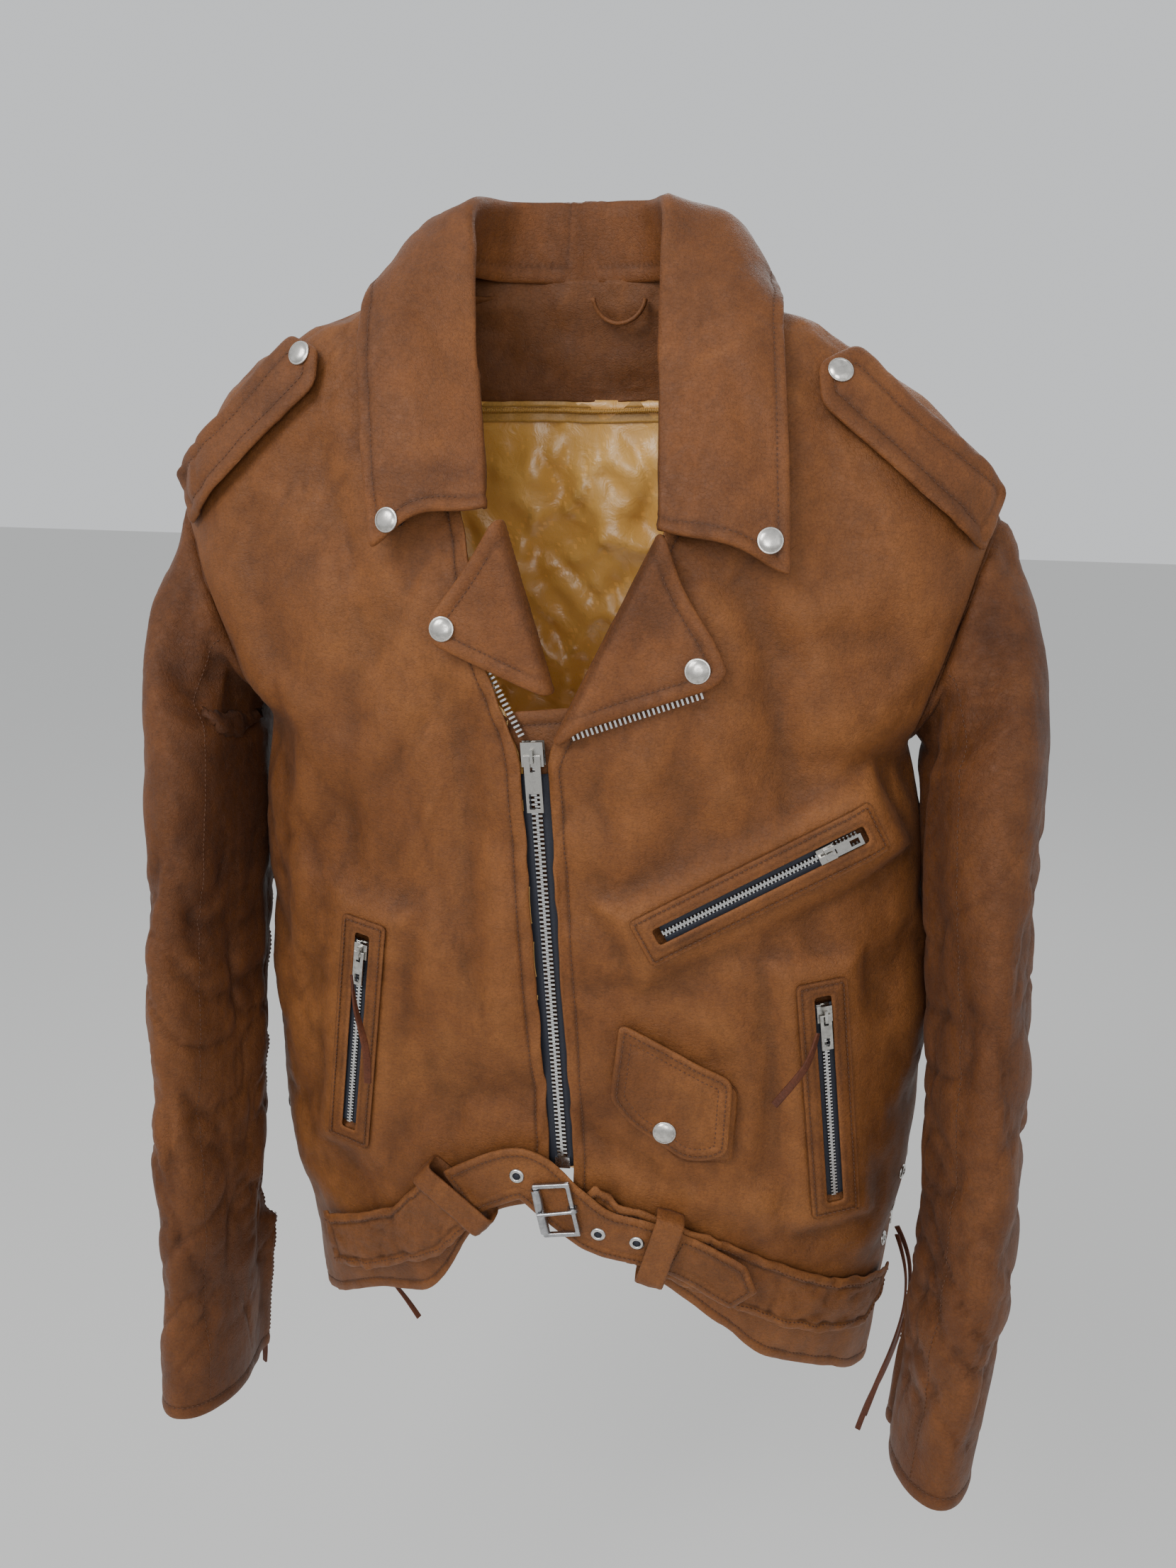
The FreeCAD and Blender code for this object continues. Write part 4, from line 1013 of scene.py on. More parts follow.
FRONT_FOLDS = {
    "right": (
        (-196, -245, -206, -420, 13, -4.0), (-170, -230, -186, -400, 12, 3.0),
        (-150, -140, -172, -300, 16, 3.0), (-128, -170, -140, -330, 14, -3.0),
        (-95, -150, -88, -330, 20, 2.5), (-62, -210, -52, -420, 12, -2.5),
        (-38, -260, -30, -470, 13, 2.6), (-70, -330, -100, -480, 14, 2.2),
        (-100, -400, -60, -560, 11, -2.0), (-176, -420, -150, -600, 13, -3.2),
        (-120, -560, -90, -650, 12, 2.2), (-205, -430, -196, -620, 15, 3.0),
        (-85, -235, -120, -280, 6, -1.4), (-70, -260, -95, -330, 5, 1.2),
    ),
    "left": (
        (112, -128, 150, -270, 12, -4.6), (150, -270, 176, -400, 14, -4.4),
        (136, -120, 178, -250, 14, 3.6), (60, -240, 50, -340, 20, 3.0),
        (98, -220, 112, -300, 15, 2.4), (196, -260, 212, -420, 14, -4.0),
        (205, -430, 214, -600, 16, 3.4), (20, -430, 46, -560, 11, -2.6),
        (40, -350, 28, -470, 14, 2.2), (128, -500, 150, -580, 9, 2.4),
        (140, -330, 150, -440, 12, -2.2), (60, -500, 80, -560, 8, -1.6),
        (190, -600, 150, -690, 14, 2.4), (90, -600, 130, -650, 12, 2.0),
        (150, -450, 140, -540, 8, -1.8),
    ),
}
BACK_FOLDS = (
    (-150, -150, -190, -400, 18, 3.6), (150, -150, 190, -400, 18, 3.6),
    (-90, -260, -60, -560, 22, -4.0), (80, -240, 60, -560, 22, -4.0),
    (0, -300, 10, -600, 20, 3.0), (-130, -420, -120, -640, 14, 3.2),
    (140, -430, 130, -650, 14, 3.2), (-190, -450, -180, -660, 16, -3.0),
    (195, -450, 190, -660, 16, -3.0),
)


def attachments():
    """Search tree over the surfaces of everything that lies on the body."""
    lying = [name for name in frame["nodes"] if any(
        word in name for word in ("belt", "buckle", "collar_leaf", "lapel", "epaulette", "coin",
                                  "welt", "slider", "puller", "tie", "open_teeth"))]
    return node_tree(*lying)


def away_from(tree, grid):
    flat = grid.reshape(-1, 3)
    return np.array([tree.find_nearest(Vector(p))[3] for p in flat]).reshape(grid.shape[:2])


class Zip:
    """Place of a straight zip, from its teeth in the frame."""

    def __init__(self, points):
        self.centre = points.mean(axis=0)
        _, _, axes = np.linalg.svd(points - self.centre, full_matrices=False)
        self.along = axes[0] * (1 if axes[0][2] > 0 else -1)
        normal = axes[2] if abs(axes[2] @ FORWARD) > abs(axes[1] @ FORWARD) else axes[1]
        self.out = normal * (1 if normal @ FORWARD > 0 else -1)
        self.across = np.cross(self.along, self.out)
        places = (points - self.centre) @ self.along
        self.length = float(places.max() - places.min())
        self.start = self.centre + self.along * places.min()
        self.turn = 0.0

    def spot(self, along, across=0.0, out=0.0):
        return self.start + self.along * along + self.across * across + self.out * out

    def local(self, points):
        gap = points - self.start
        return gap @ self.along, gap @ self.across, gap @ self.out

    def from_other_end(self):
        """The same zip, read the other way along."""
        other = copy.copy(self)
        other.start = self.start + self.along * self.length
        other.along = -self.along
        return other

    def fall(self, along):
        """How far the hide falls away past the upper end, where the body turns."""
        past = np.maximum(along - self.length + 2 * MM, 0)
        return past**2 * self.turn


def find_zips():
    teeth = node_points("pocket_zip_teeth")
    chest = teeth[(teeth[:, 0] > 0.05) & (teeth[:, 2] > -0.375)]
    left = teeth[(teeth[:, 0] > 0.14) & (teeth[:, 2] < -0.385)]
    right = teeth[teeth[:, 0] < -0.05]
    return {"chest": Zip(chest), "left": Zip(left), "right": Zip(right)}


ZIPS = find_zips()
ZIPS["chest"].turn = 1 / (70 * MM)
WELT_HALF = 17 * MM
WELT_OVER = 16 * MM
SLIT_HALF = 5.6 * MM                # the sliders pass between its edges
CHAIN_SUNK = -0.5 * MM              # the hide's face from the chain's middle


def to_pockets(grid, normals):
    """Move the hide to the planes of the pocket zips, and down behind their slits."""
    moved = np.zeros(grid.shape[:2])
    for pocket in ZIPS.values():
        along, across, out = pocket.local(grid)
        beyond = np.maximum(np.maximum(-along - WELT_OVER, along - pocket.length - WELT_OVER),
                            np.abs(across) - WELT_HALF)
        facing = (normals @ pocket.out) > 0.4
        near = (1 - smooth(beyond, -2 * MM, 19 * MM)) * facing * (np.abs(out) < 0.05)
        gap = CHAIN_SUNK - out - pocket.fall(along)
        moved = moved * (1 - near) + near * gap
        slit = np.maximum(np.maximum(-along - 3 * MM, along - pocket.length - 5 * MM),
                          np.abs(across) - 9.5 * MM)
        moved = moved - (1 - smooth(slit, -1.5 * MM, 2.5 * MM)) * 7.0 * MM * facing * (
            np.abs(out) < 0.05)
    return moved


ATTACHED = attachments()


def add_relief(grid, sign, folds, seed, front=True):
    """Folds, wrinkles and hollows of a hanging panel, and its settling under gravity."""
    normals = grid_normals(grid, sign)
    away = away_from(ATTACHED, grid)
    z = grid[..., 2]
    depth = along_folds(grid, folds)
    broad = noise(grid, mm(66, 66, 170), seed) * 2.4 * MM
    medium = noise(grid, mm(26, 26, 66), seed + 1) * 0.8 * MM
    depth = depth + broad + medium
    free = smooth(away, 3 * MM, 42 * MM)
    depth = np.where(depth > 0, depth * (0.15 + 0.85 * free), depth * (0.55 + 0.45 * free))
    hem = smooth(-z, 0.60, 0.70)
    depth = depth + hem * noise(grid, mm(45, 45, 400), seed + 7) * 3.0 * MM * free
    fine = ridges(grid, mm(16, 16, 26), seed + 2, 3) * 0.8 * MM
    fine = fine * smooth(noise(grid, mm(70, 70, 90), seed + 3), -0.35, 0.4)
    long_folds = ridges(turned_by(grid, 22), mm(30, 30, 125), seed + 20, 3.5)
    fine += long_folds * 1.7 * MM * (0.3 + 0.7 * free)
    fine += ridges(turned_by(grid, -32), mm(22, 22, 90), seed + 21, 3.5) * 0.9 * MM
    fine += ridges(turned_by(grid, 62), mm(11, 11, 24), seed + 22, 3) * 0.3 * MM
    tiny = noise(grid, mm(7, 7, 9), seed + 4) * 0.16 * MM
    depth = depth - fine + tiny
    pins = 1 - 0.98 * smooth(away, 2 * MM, 30 * MM)
    pins[0] = np.minimum(pins[0], 0.4)
    pins[-3:] = 1
    pins[:, 0] = 1
    pins[:, -1] = 1
    if front:
        extra = to_pockets(grid, normals)
        weight = np.clip(np.abs(extra) / (2.0 * MM), 0, 1)
        depth = depth * (1 - 0.85 * weight) + extra
        pins = np.maximum(pins, weight)
    edge = np.minimum(smooth(np.arange(grid.shape[1])[None] * 1.0, 0, 5),
                      smooth((grid.shape[1] - 1 - np.arange(grid.shape[1]))[None] * 1.0, 0, 5))
    depth = depth * (0.25 + 0.75 * edge)
    grid = grid + normals * depth[..., None]
    return settle(grid, pins, 0.012, 16, 5.0 * MM, stiff=6.0)


def make_front(name, side):
    node = f"{name}_front_panel"
    tree = node_tree(node)
    if side < 0:
        grid = panel_grid(tree, math.radians(80), math.radians(180.0), False)
    else:
        grid = panel_grid(tree, math.radians(0.0), math.radians(100), True)
    grid = refine(grid, 0, 4.2 * MM, low=True)
    grid = refine(grid, 1, 4.2 * MM, low=True)
    sign = 1.0 if grid_normals(grid, 1.0)[40, 20] @ FORWARD > 0 else -1.0
    grid = add_relief(grid, sign, FRONT_FOLDS[name], 11 + int(side))
    stitch = EDGE_STEPS.tolist().index(9.0 * MM)
    seams = [(0, stitch, stitch, grid.shape[0] - 1), (1, stitch, stitch, grid.shape[1] - 1)]
    piece = leather_sheet(f"{name}_front_hide", "body_leather", grid, sign,
                          turned=(1, 0, 1, 0), seams=seams)
    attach(piece, "root")
    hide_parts(node)
    return grid, sign


def make_back():
    tree = node_tree("back_panel")
    grid = panel_grid(tree, math.radians(180.0), math.radians(360.0), False)
    grid = refine(grid, 0, 5.0 * MM, low=True)
    grid = refine(grid, 1, 5.0 * MM)
    middle = grid.shape[1] // 2
    sign = 1.0 if grid_normals(grid, 1.0)[40, middle] @ -FORWARD > 0 else -1.0
    grid = add_relief(grid, sign, BACK_FOLDS, 31, front=False)
    stitch = EDGE_STEPS.tolist().index(9.0 * MM)
    seams = [(1, stitch, 2, grid.shape[1] - 2), (0, 2, stitch, grid.shape[0] - 2),
             (0, grid.shape[1] - 3, stitch, grid.shape[0] - 2)]
    yoke = int(np.argmin(np.abs(grid[:, grid.shape[1] // 2, 2] + 0.150)))
    seams += [(1, yoke, 2, grid.shape[1] - 2), (1, yoke + 1, 2, grid.shape[1] - 2)]
    piece = leather_sheet("back_hide", "body_leather", grid, sign, turned=(1, 0, 0, 0),
                          seams=seams)
    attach(piece, "root")
    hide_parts("back_panel")
    return grid, sign


PANELS = {name: make_front(name, side) for name, side in SIDES}
PANELS["back"] = make_back()


# ================================================================= sleeves
# centre of each ring (x, y, z) and the tilt of its plane, in mm and degrees
SLEEVE_SPINE = {
    "right": (
        (-250, -4, -175.5, 67), (-266, -20, -211, 50), (-258, -38, -256, 12), (-254, -64, -350, 0),
        (-255, -88, -450, 0), (-252, -109, -550, 0), (-248, -130, -650, 0), (-247, -149, -736, 0)),
    "left": (
        (245, -4, -175.5, 67), (264, -20, -211, 50), (266, -36, -256, 12), (272, -62, -350, 0),
        (280, -86, -450, 0), (281, -108, -550, 0), (273, -128, -636, 0), (266, -145, -714, 0)),
}
SLEEVE_LEAN = 14
SLEEVE_COLUMNS = 112
HEAD_RADII = mm(70, 46)


def ring_frames(name, side, count):
    """Centres and the two directions of rings evenly along a sleeve."""
    table = np.array(SLEEVE_SPINE[name], float)
    spine = table[:, :3] * MM
    steps = np.concatenate([[0], np.cumsum(np.linalg.norm(np.diff(spine, axis=0), axis=1))])
    places = np.linspace(0.0004, steps[-1] - 0.0004, count)
    centres = at_lengths(spine, places)
    tilt = np.radians(np.interp(places, steps, table[:, 3]))
    lean = np.radians(np.interp(places, steps, [0, 0] + [SLEEVE_LEAN] * (len(table) - 2)))
    zero = np.zeros(count)
    across = np.stack([side * np.cos(tilt), zero, np.sin(tilt)], axis=1)
    deep = np.stack([zero, np.cos(lean), -np.sin(lean)], axis=1)
    return centres, across, deep


def sleeve_grid(node, name, side, count):
    tree = node_tree(node)
    centres, across, deep = ring_frames(name, side, count)
    angles = np.arange(SLEEVE_COLUMNS) * 2 * math.pi / SLEEVE_COLUMNS
    radii = np.full((count, SLEEVE_COLUMNS), np.nan)
    ways = (across[:, None] * np.cos(angles)[None, :, None]
            + deep[:, None] * np.sin(angles)[None, :, None])
    for i in range(count):
        for j in range(SLEEVE_COLUMNS):
            way = Vector(ways[i, j])
            start = Vector(centres[i]) + way * 0.16
            hit = tree.ray_cast(start, -way, 0.159)
            if hit[0]:
                radii[i, j] = (hit[0] - Vector(centres[i])).length
    for j in range(SLEEVE_COLUMNS):
        known = ~np.isnan(radii[:, j])
        radii[:, j] = np.interp(np.arange(count), np.flatnonzero(known), radii[known, j])
    radii = soften(radii, 1, closed=True)
    return centres[:, None] + ways * radii[..., None], centres, across, deep, angles


def armhole_loop(name, side, centre, across, deep, angles):
    """Points of the body's armhole edge at each angle round the sleeve's head."""
    front = PANELS[name][0][:, -1]
    back = PANELS["back"][0][:, 0 if side < 0 else -1]
    points = np.concatenate([front, back])
    points = points[(points[:, 2] > -0.252) & (points[:, 2] < -0.106)]
    gap = points - centre
    around = np.arctan2(gap @ deep / HEAD_RADII[1], gap @ across / HEAD_RADII[0])
    order = np.argsort(around)
    around, points = around[order], points[order]
    wrapped = np.concatenate([around - 2 * math.pi, around, around + 2 * math.pi])
    points = np.concatenate([points] * 3)
    wanted = (angles + math.pi) % (2 * math.pi) - math.pi
    loop = np.stack([np.interp(wanted, wrapped, points[:, k]) for k in range(3)], axis=1)
    return soften(loop[None], 3, closed=True)[0]


def surface_of(*pieces):
    """Search tree over the faces of finished pieces."""
    points, faces = [], []
    for piece in pieces:
        first = len(points)
        points += [v.co.copy() for v in piece.data.vertices]
        faces += [[first + k for k in f.vertices] for f in piece.data.polygons]
    return BVHTree.FromPolygons(points, faces)


def inside_hide(hide, grid, outward, gap):
    """A grid moved inward until it lies gap inside a hide, and drawn in at the hide's edges."""
    reach = 20 * MM
    moved = []
    for spot, way in zip(grid.reshape(-1, 3), outward.reshape(-1, 3)):
        hit = hide.ray_cast(Vector(spot - way * reach), Vector(way), 2.5 * reach)
        if hit[0]:
            spot = spot + way * min(0.0, hit[3] - reach - gap)
        else:
            spot = np.array(hide.find_nearest(Vector(spot))[0]) - way * gap
        moved.append(spot)
    return np.array(moved).reshape(grid.shape)


def sleeve_relief(grid, share, seed):
    """Creases of a worn sleeve: diagonal at the elbow, long ones above and below."""
    elbow = smooth(share, 0.18, 0.42) * (1 - smooth(share, 0.86, 0.98))
    depth = noise(grid, mm(46, 46, 120), seed) * 2.3 * MM
    depth += noise(turned_by(grid, 24), mm(20, 36, 90), seed + 1) * 1.1 * MM * (0.35 + elbow)
    depth += noise(turned_by(grid, -30), mm(18, 36, 80), seed + 2) * 0.9 * MM * (0.3 + elbow)
    for degrees, cell, size, k in ((38, (24, 40, 100), 3.0, 3), (-42, (26, 40, 100), 2.8, 4),
                                   (12, (20, 40, 120), 2.2, 5), (66, (30, 40, 80), 1.6, 6),
                                   (-18, (14, 24, 60), 1.2, 7)):
        crease = ridges(turned_by(grid, degrees), mm(*cell), seed + k, 4)
        depth -= crease * size * MM * (0.2 + 0.75 * elbow)
    fine = ridges(grid, mm(11, 11, 15), seed + 8, 3) * 0.5 * MM
    depth -= fine * smooth(noise(grid, mm(50, 50, 60), seed + 9), -0.3, 0.4)
    depth += noise(grid, mm(6, 6, 8), seed + 10) * 0.15 * MM
    gathers = noise(grid, mm(16, 16, 70), seed + 11) * 1.6 * MM
    depth += gathers * (1 - smooth(share, 0.03, 0.16))
    return depth


def make_sleeve(name, side):
    node = f"{name}_sleeve"
    grid, centres, across, deep, angles = sleeve_grid(node, name, side, 70)
    loop = armhole_loop(name, side, centres[0], across[0], deep[0], angles)
    step = 4.2 * MM
    grid = np.concatenate([loop[None], grid[1:]])
    grid = refine(grid, 0, step, high=True)
    sign = 1.0
    normals = grid_normals(grid, 1.0, closed=True)
    inward = (grid.mean(axis=1, keepdims=True) - grid)
    if (normals * inward).sum() > 0:
        sign = -1.0
        normals = -normals
    down = np.concatenate([np.zeros((1, grid.shape[1])),
                           np.cumsum(np.linalg.norm(np.diff(grid, axis=0), axis=2), axis=0)])
    share = down / down[-1:]
    seed = 60 if side < 0 else 90
    depth = sleeve_relief(grid, share, seed)
    depth = depth * smooth(down, 0.0, 24 * MM) + 3.2 * MM * np.exp(
        -(((down - 9 * MM) / (7 * MM)) ** 2))
    cuff = smooth(down[-1:] - down, 0.0, 40 * MM)
    depth = depth * (0.35 + 0.65 * cuff)
    along, width, out = CUFF_ZIPS[name].local(grid)
    beyond = np.maximum(np.maximum(-along - 12 * MM, along - CUFF_ZIPS[name].length - 6 * MM),
                        np.abs(width) - 9 * MM)
    near = (1 - smooth(beyond, 0, 16 * MM)) * (normals @ CUFF_ZIPS[name].out > 0.3)
    depth = depth * (1 - near) + near * (-out - 1.6 * MM)
    pins = 1 - 0.97 * smooth(down, 2 * MM, 30 * MM)
    pins = np.maximum(pins, near)
    grid = grid + normals * depth[..., None]
    grid = settle(grid, pins, 0.022, 16, 6 * MM, stiff=2.0, closed=True)
    stitch = grid.shape[0] - 1 - EDGE_STEPS.tolist().index(9.0 * MM)
    front_seam = int(SLEEVE_COLUMNS * 0.69)
    seams = [(1, stitch, 0, SLEEVE_COLUMNS), (0, front_seam, 2, stitch),
             (0, int(SLEEVE_COLUMNS * 0.30), 2, stitch)]
    piece = leather_sheet(f"{name}_sleeve_hide", "sleeve_leather", grid, sign,
                          turned=(0, 1, 0, 0), seams=seams, closed=True, puff=0.7 * MM)
    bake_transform(piece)
    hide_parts(node)

    lining, *_ = sleeve_grid(f"{name}_sleeve_lining", name, side, 60)
    lining = lining[12:-1]
    normals = grid_normals(lining, sign, closed=True)
    ruffle = noise(lining, mm(14, 14, 30), seed + 20) * 1.4 * MM
    foot = lining[-1, :, 2].mean()
    clear = smooth(lining[..., 2], foot + 4 * MM, foot + 50 * MM)
    gathers = noise(lining, mm(9, 9, 120), seed + 21) * 3.4 * MM * clear
    lining = lining + normals * (ruffle + gathers - (1.0 + 7.5 * clear) * MM)[..., None]
    lining = inside_hide(surface_of(piece), lining, normals, 1.6 * MM)
    inner = leather_sheet(f"{name}_sleeve_satin", "lining_satin", lining, sign, 0.6 * MM,
                          closed=True, puff=0.0)
    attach(inner, f"{name}_sleeve")
    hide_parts(f"{name}_sleeve_lining")
    return grid, loop, normals


def find_cuff_zip(name):
    points = node_points(f"{name}_cuff_zip")
    found = Zip(points)
    spots = points - found.centre
    _, _, axes = np.linalg.svd(spots, full_matrices=False)
    found.out = axes[2] * (1 if axes[2][1] > 0 else -1)
    found.across = np.cross(found.along, found.out)
    return found


CUFF_ZIPS = {name: find_cuff_zip(name) for name, _ in SIDES}
SLEEVES = {name: make_sleeve(name, side) for name, side in SIDES}


def tube_along(path, radius, sides=8, closed=False, wobble=0.0, seed=3):
    """Points and faces of a round tube along a path."""
    ahead = np.roll(path, -1, axis=0) - np.roll(path, 1, axis=0)
    if not closed:
        ahead[0] = path[1] - path[0]
        ahead[-1] = path[-1] - path[-2]
    ahead = unit(ahead)
    up = np.array([0.0, 0.0, 1.0]) if abs(ahead[0][2]) < 0.8 else np.array([1.0, 0.0, 0.0])
    points = []
    for way, spot in zip(ahead, path):
        side = unit(np.cross(way, up))
        up = unit(np.cross(side, way))
        for k in range(sides):
            a = 2 * math.pi * k / sides
            points.append(spot + (side * math.cos(a) + up * math.sin(a)) * radius)
    points = np.array(points)
    if wobble:
        points += (noise(points, mm(9, 9, 9), seed) * wobble)[:, None] * unit(
            points - np.repeat(path, sides, axis=0))
    faces = []
    count = len(path)
    for i in range(count if closed else count - 1):
        for k in range(sides):
            a = i * sides + k
            b = i * sides + (k + 1) % sides
            c = ((i + 1) % count) * sides + (k + 1) % sides
            d = ((i + 1) % count) * sides + k
            faces.append([a, b, c, d])
    if not closed:
        faces.append(list(range(sides))[::-1])
        faces.append([(count - 1) * sides + k for k in range(sides)])
    return points, faces


def make_piping():
    """Corded seam round each armhole."""
    for name, side in SIDES:
        loop = SLEEVES[name][1]
        loop = soften(loop[None], 4, closed=True)[0]
        out = np.array([side * 0.92, 0, -0.39]) * 1.5 * MM
        points, faces = tube_along(loop + out, 2.5 * MM, 8, closed=True, wobble=0.5 * MM)
        piece = make_piece(f"{name}_armhole_piping", points, faces, "sleeve_leather",
                           shade=np.full(len(points), 0.42))
        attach(piece, "root")


make_piping()


# ================================================================= collar
class GridSurface:
    """Smooth surface through a grid of points, read by distance along rows and columns."""

    def __init__(self, grid, rows_at, columns_at, outward):
        self.grid = grid
        self.rows_at = np.asarray(rows_at)
        self.columns_at = np.asarray(columns_at)
        normals = grid_normals(grid)
        middle = normals[len(grid) // 2, grid.shape[1] // 2]
        self.normals = normals * (1 if middle @ np.asarray(outward) > 0 else -1)

    def read(self, field, i, j):
        i0 = np.clip(np.floor(i).astype(int), 0, field.shape[0] - 2)
        j0 = np.clip(np.floor(j).astype(int), 0, field.shape[1] - 2)
        a, b = (i - i0)[:, None], (j - j0)[:, None]
        return ((field[i0, j0] * (1 - a) + field[i0 + 1, j0] * a) * (1 - b)
                + (field[i0, j0 + 1] * (1 - a) + field[i0 + 1, j0 + 1] * a) * b)

    def __call__(self, flat):
        i = np.interp(flat[:, 0], self.rows_at, np.arange(len(self.rows_at)))
        j = np.interp(flat[:, 1], self.columns_at, np.arange(len(self.columns_at)))
        return self.read(self.grid, i, j), unit(self.read(self.normals, i, j))


# stations from the centre of the back to the gorge: stand seam, roll, middle of the leaf, edge
COLLAR = {
    "right": (
        ((-9, 48, 24), (-9, 50, 79), (-9, 78, 58), (-9, 90, 4)),
        ((-64, 36, 26), (-53, 39, 78), (-80, 64, 58), (-94, 78, 10)),
        ((-84, -6, 26), (-71, 1, 73), (-108, 6, 60), (-133, 4, 26)),
        ((-80, -24, 20), (-67, -20, 42), (-106, -24, 35), (-134, -24, 18)),
        ((-72, -40, 0), (-63, -36, 10), (-101, -48, 4), (-132, -50, -8)),
        ((-62, -56, -30), (-58, -54, -28), (-97, -68, -30), (-128, -69, -44)),
        ((-54, -72, -68), (-51, -73, -66), (-88, -86, -74), (-122, -83, -84)),
        ((-47, -90, -104), (-45, -92, -106), (-79, -98, -114), (-114, -96, -133)),
    ),
    "left": (
        ((-12, 48, 24), (-12, 50, 79), (-12, 78, 58), (-12, 90, 4)),
        ((44, 36, 26), (32, 39, 78), (60, 64, 58), (74, 78, 8)),
        ((64, -6, 26), (48, 1, 73), (88, 6, 60), (117, 4, 24)),
        ((62, -24, 18), (51, -20, 42), (92, -24, 34), (122, -24, 14)),
        ((60, -40, -2), (53, -37, 8), (94, -49, 2), (127, -51, -14)),
        ((60, -57, -34), (57, -56, -32), (97, -69, -36), (132, -69, -52)),
        ((63, -74, -74), (61, -75, -74), (98, -87, -84), (136, -84, -92)),
        ((66, -92, -112), (64, -94, -116), (100, -101, -126), (140, -98, -140)),
    ),
}
LEAF_THICK = 3.2 * MM


def collar_surface(name):
    """Surface of one half of the collar and the distances along it."""
    profiles = []
    inside, outside = [], []
    for seam, roll, middle, edge in COLLAR[name]:
        seam, roll, middle, edge = (mm(*p) for p in (seam, roll, middle, edge))
        down_out, down_in = unit(middle - roll), unit(seam - roll)
        reach = min(10 * MM, 0.5 * np.linalg.norm(seam - roll))
        apex = roll - unit(down_out + down_in) * 1.5 * MM
        outer = np.array([apex, roll + down_out * 9 * MM, middle, edge])
        inner = np.array([apex, roll + down_in * reach, seam])
        outer_line = at_lengths(outer, np.linspace(0, length_of(outer), 25))
        inner_line = at_lengths(inner, np.linspace(0, length_of(inner), 9))
        profiles.append(np.concatenate([inner_line[::-1], outer_line[1:]]))
        inside.append(length_of(inner_line))
        outside.append(length_of(outer_line))
    profiles = np.array(profiles)
    roll_line = profiles[:, 8]
    along = np.concatenate([[0], np.cumsum(np.linalg.norm(np.diff(roll_line, axis=0), axis=1))])
    places = np.linspace(0, along[-1], 90)
    grid = np.stack([at_lengths(profiles[:, k], np.interp(
        places, along, np.concatenate([[0], np.cumsum(np.linalg.norm(
            np.diff(profiles[:, k], axis=0), axis=1))]))) for k in range(profiles.shape[1])], 1)
    grid = soften(grid, 2)
    columns_at = np.concatenate([np.linspace(-1, 0, 9), np.linspace(0, 1, 25)[1:]])
    return grid, places, columns_at, np.interp(places, along, outside)


def make_collar(name, side):
    grid, places, shares, widths = collar_surface(name)
    length = places[-1]
    surface = GridSurface(grid, places, shares, (0.0, -1.0, 0.3))
    leaf_normal = surface.normals[80, 20]
    if leaf_normal @ np.array([0, -1.0, 0.2]) < 0:
        surface.normals = -surface.normals

    def mapped(flat):
        wide = np.interp(flat[:, 0], places, widths)
        v = np.where(flat[:, 1] > 0, flat[:, 1] / wide, flat[:, 1] / (40 * MM))
        base, normals = surface(np.stack([flat[:, 0], v], axis=1))
        wave = noise(base, mm(38, 38, 60), 201) * 2.6 * MM
        wave += noise(turned_by(base, 25), mm(15, 25, 50), 203) * 1.1 * MM
        wave -= ridges(turned_by(base, 30), mm(30, 30, 70), 205, 3) * 1.5 * MM
        wave -= ridges(turned_by(base, -20), mm(13, 16, 30), 207, 3) * 0.5 * MM
        rim = smooth(flat[:, 1] / wide, 0.72, 1.0)
        wave += rim * noise(base, mm(12, 12, 14), 209) * 0.9 * MM
        lift = smooth(flat[:, 1], 10 * MM, 40 * MM)
        return base + normals * (wave * lift)[:, None], normals

    edge = [(float(u), float(np.interp(u, places, widths))) for u in np.linspace(0, length, 12)]
    wide_start = edge[0][1]
    tip = (length + 1 * MM, edge[-1][1] - 1 * MM, 9 * MM)
    notch = (length - 9 * MM, 0.55 * edge[-1][1], 20 * MM)
    outline = rounded(
        [(0.0, -38 * MM, 0.5 * MM), (length * 0.6, -38 * MM), (length - 1 * MM, -30 * MM, 2 * MM),
         (length - 1 * MM, 0.12 * edge[-1][1], 4 * MM), notch, tip] + edge[-2:0:-1]
        + [(0.0, edge[0][1], 0.5 * MM)], 4 * MM)
    piece = patch(f"{name}_collar_hide", "collar_leather", outline, mapped, LEAF_THICK,
                  puff=0.8 * MM, crinkle=0.35 * MM, seed=41 if side < 0 else 47,
                  open_where=lambda flat: (flat[:, 0] < 14 * MM) | (flat[:, 1] < 14 * MM),
                  flush=lambda flat: (flat[:, 0] < 9 * MM) & (flat[:, 1] < wide_start - 9 * MM))
    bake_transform(piece)
    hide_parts(f"{name}_collar_leaf")
    return piece


for name, side in SIDES:
    collar_piece = make_collar(name, side)
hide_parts("collar_stand")


# ================================================================= lapels
LAPELS = {
    "right": {
        "roll": ((-35, -97, -110), (-1, -111, -211)),
        "edge": ((-54, -101, -139, 10), (-76, -103.5, -171, 7), (-73, -104.5, -184, 8),
                 (-40, -107.5, -198, 20), (-14, -110.5, -208, 8)),
    },
    "left": {
        "roll": ((64, -97, -116), (5, -114, -241)),
        "edge": ((77, -101, -146, 16), (99, -102.5, -178, 16), (106, -103.5, -194, 9),
                 (98, -104.5, -202.5, 6), (58, -108.5, -217.3, 30), (18, -112.5, -232.2, 8)),
    },
}


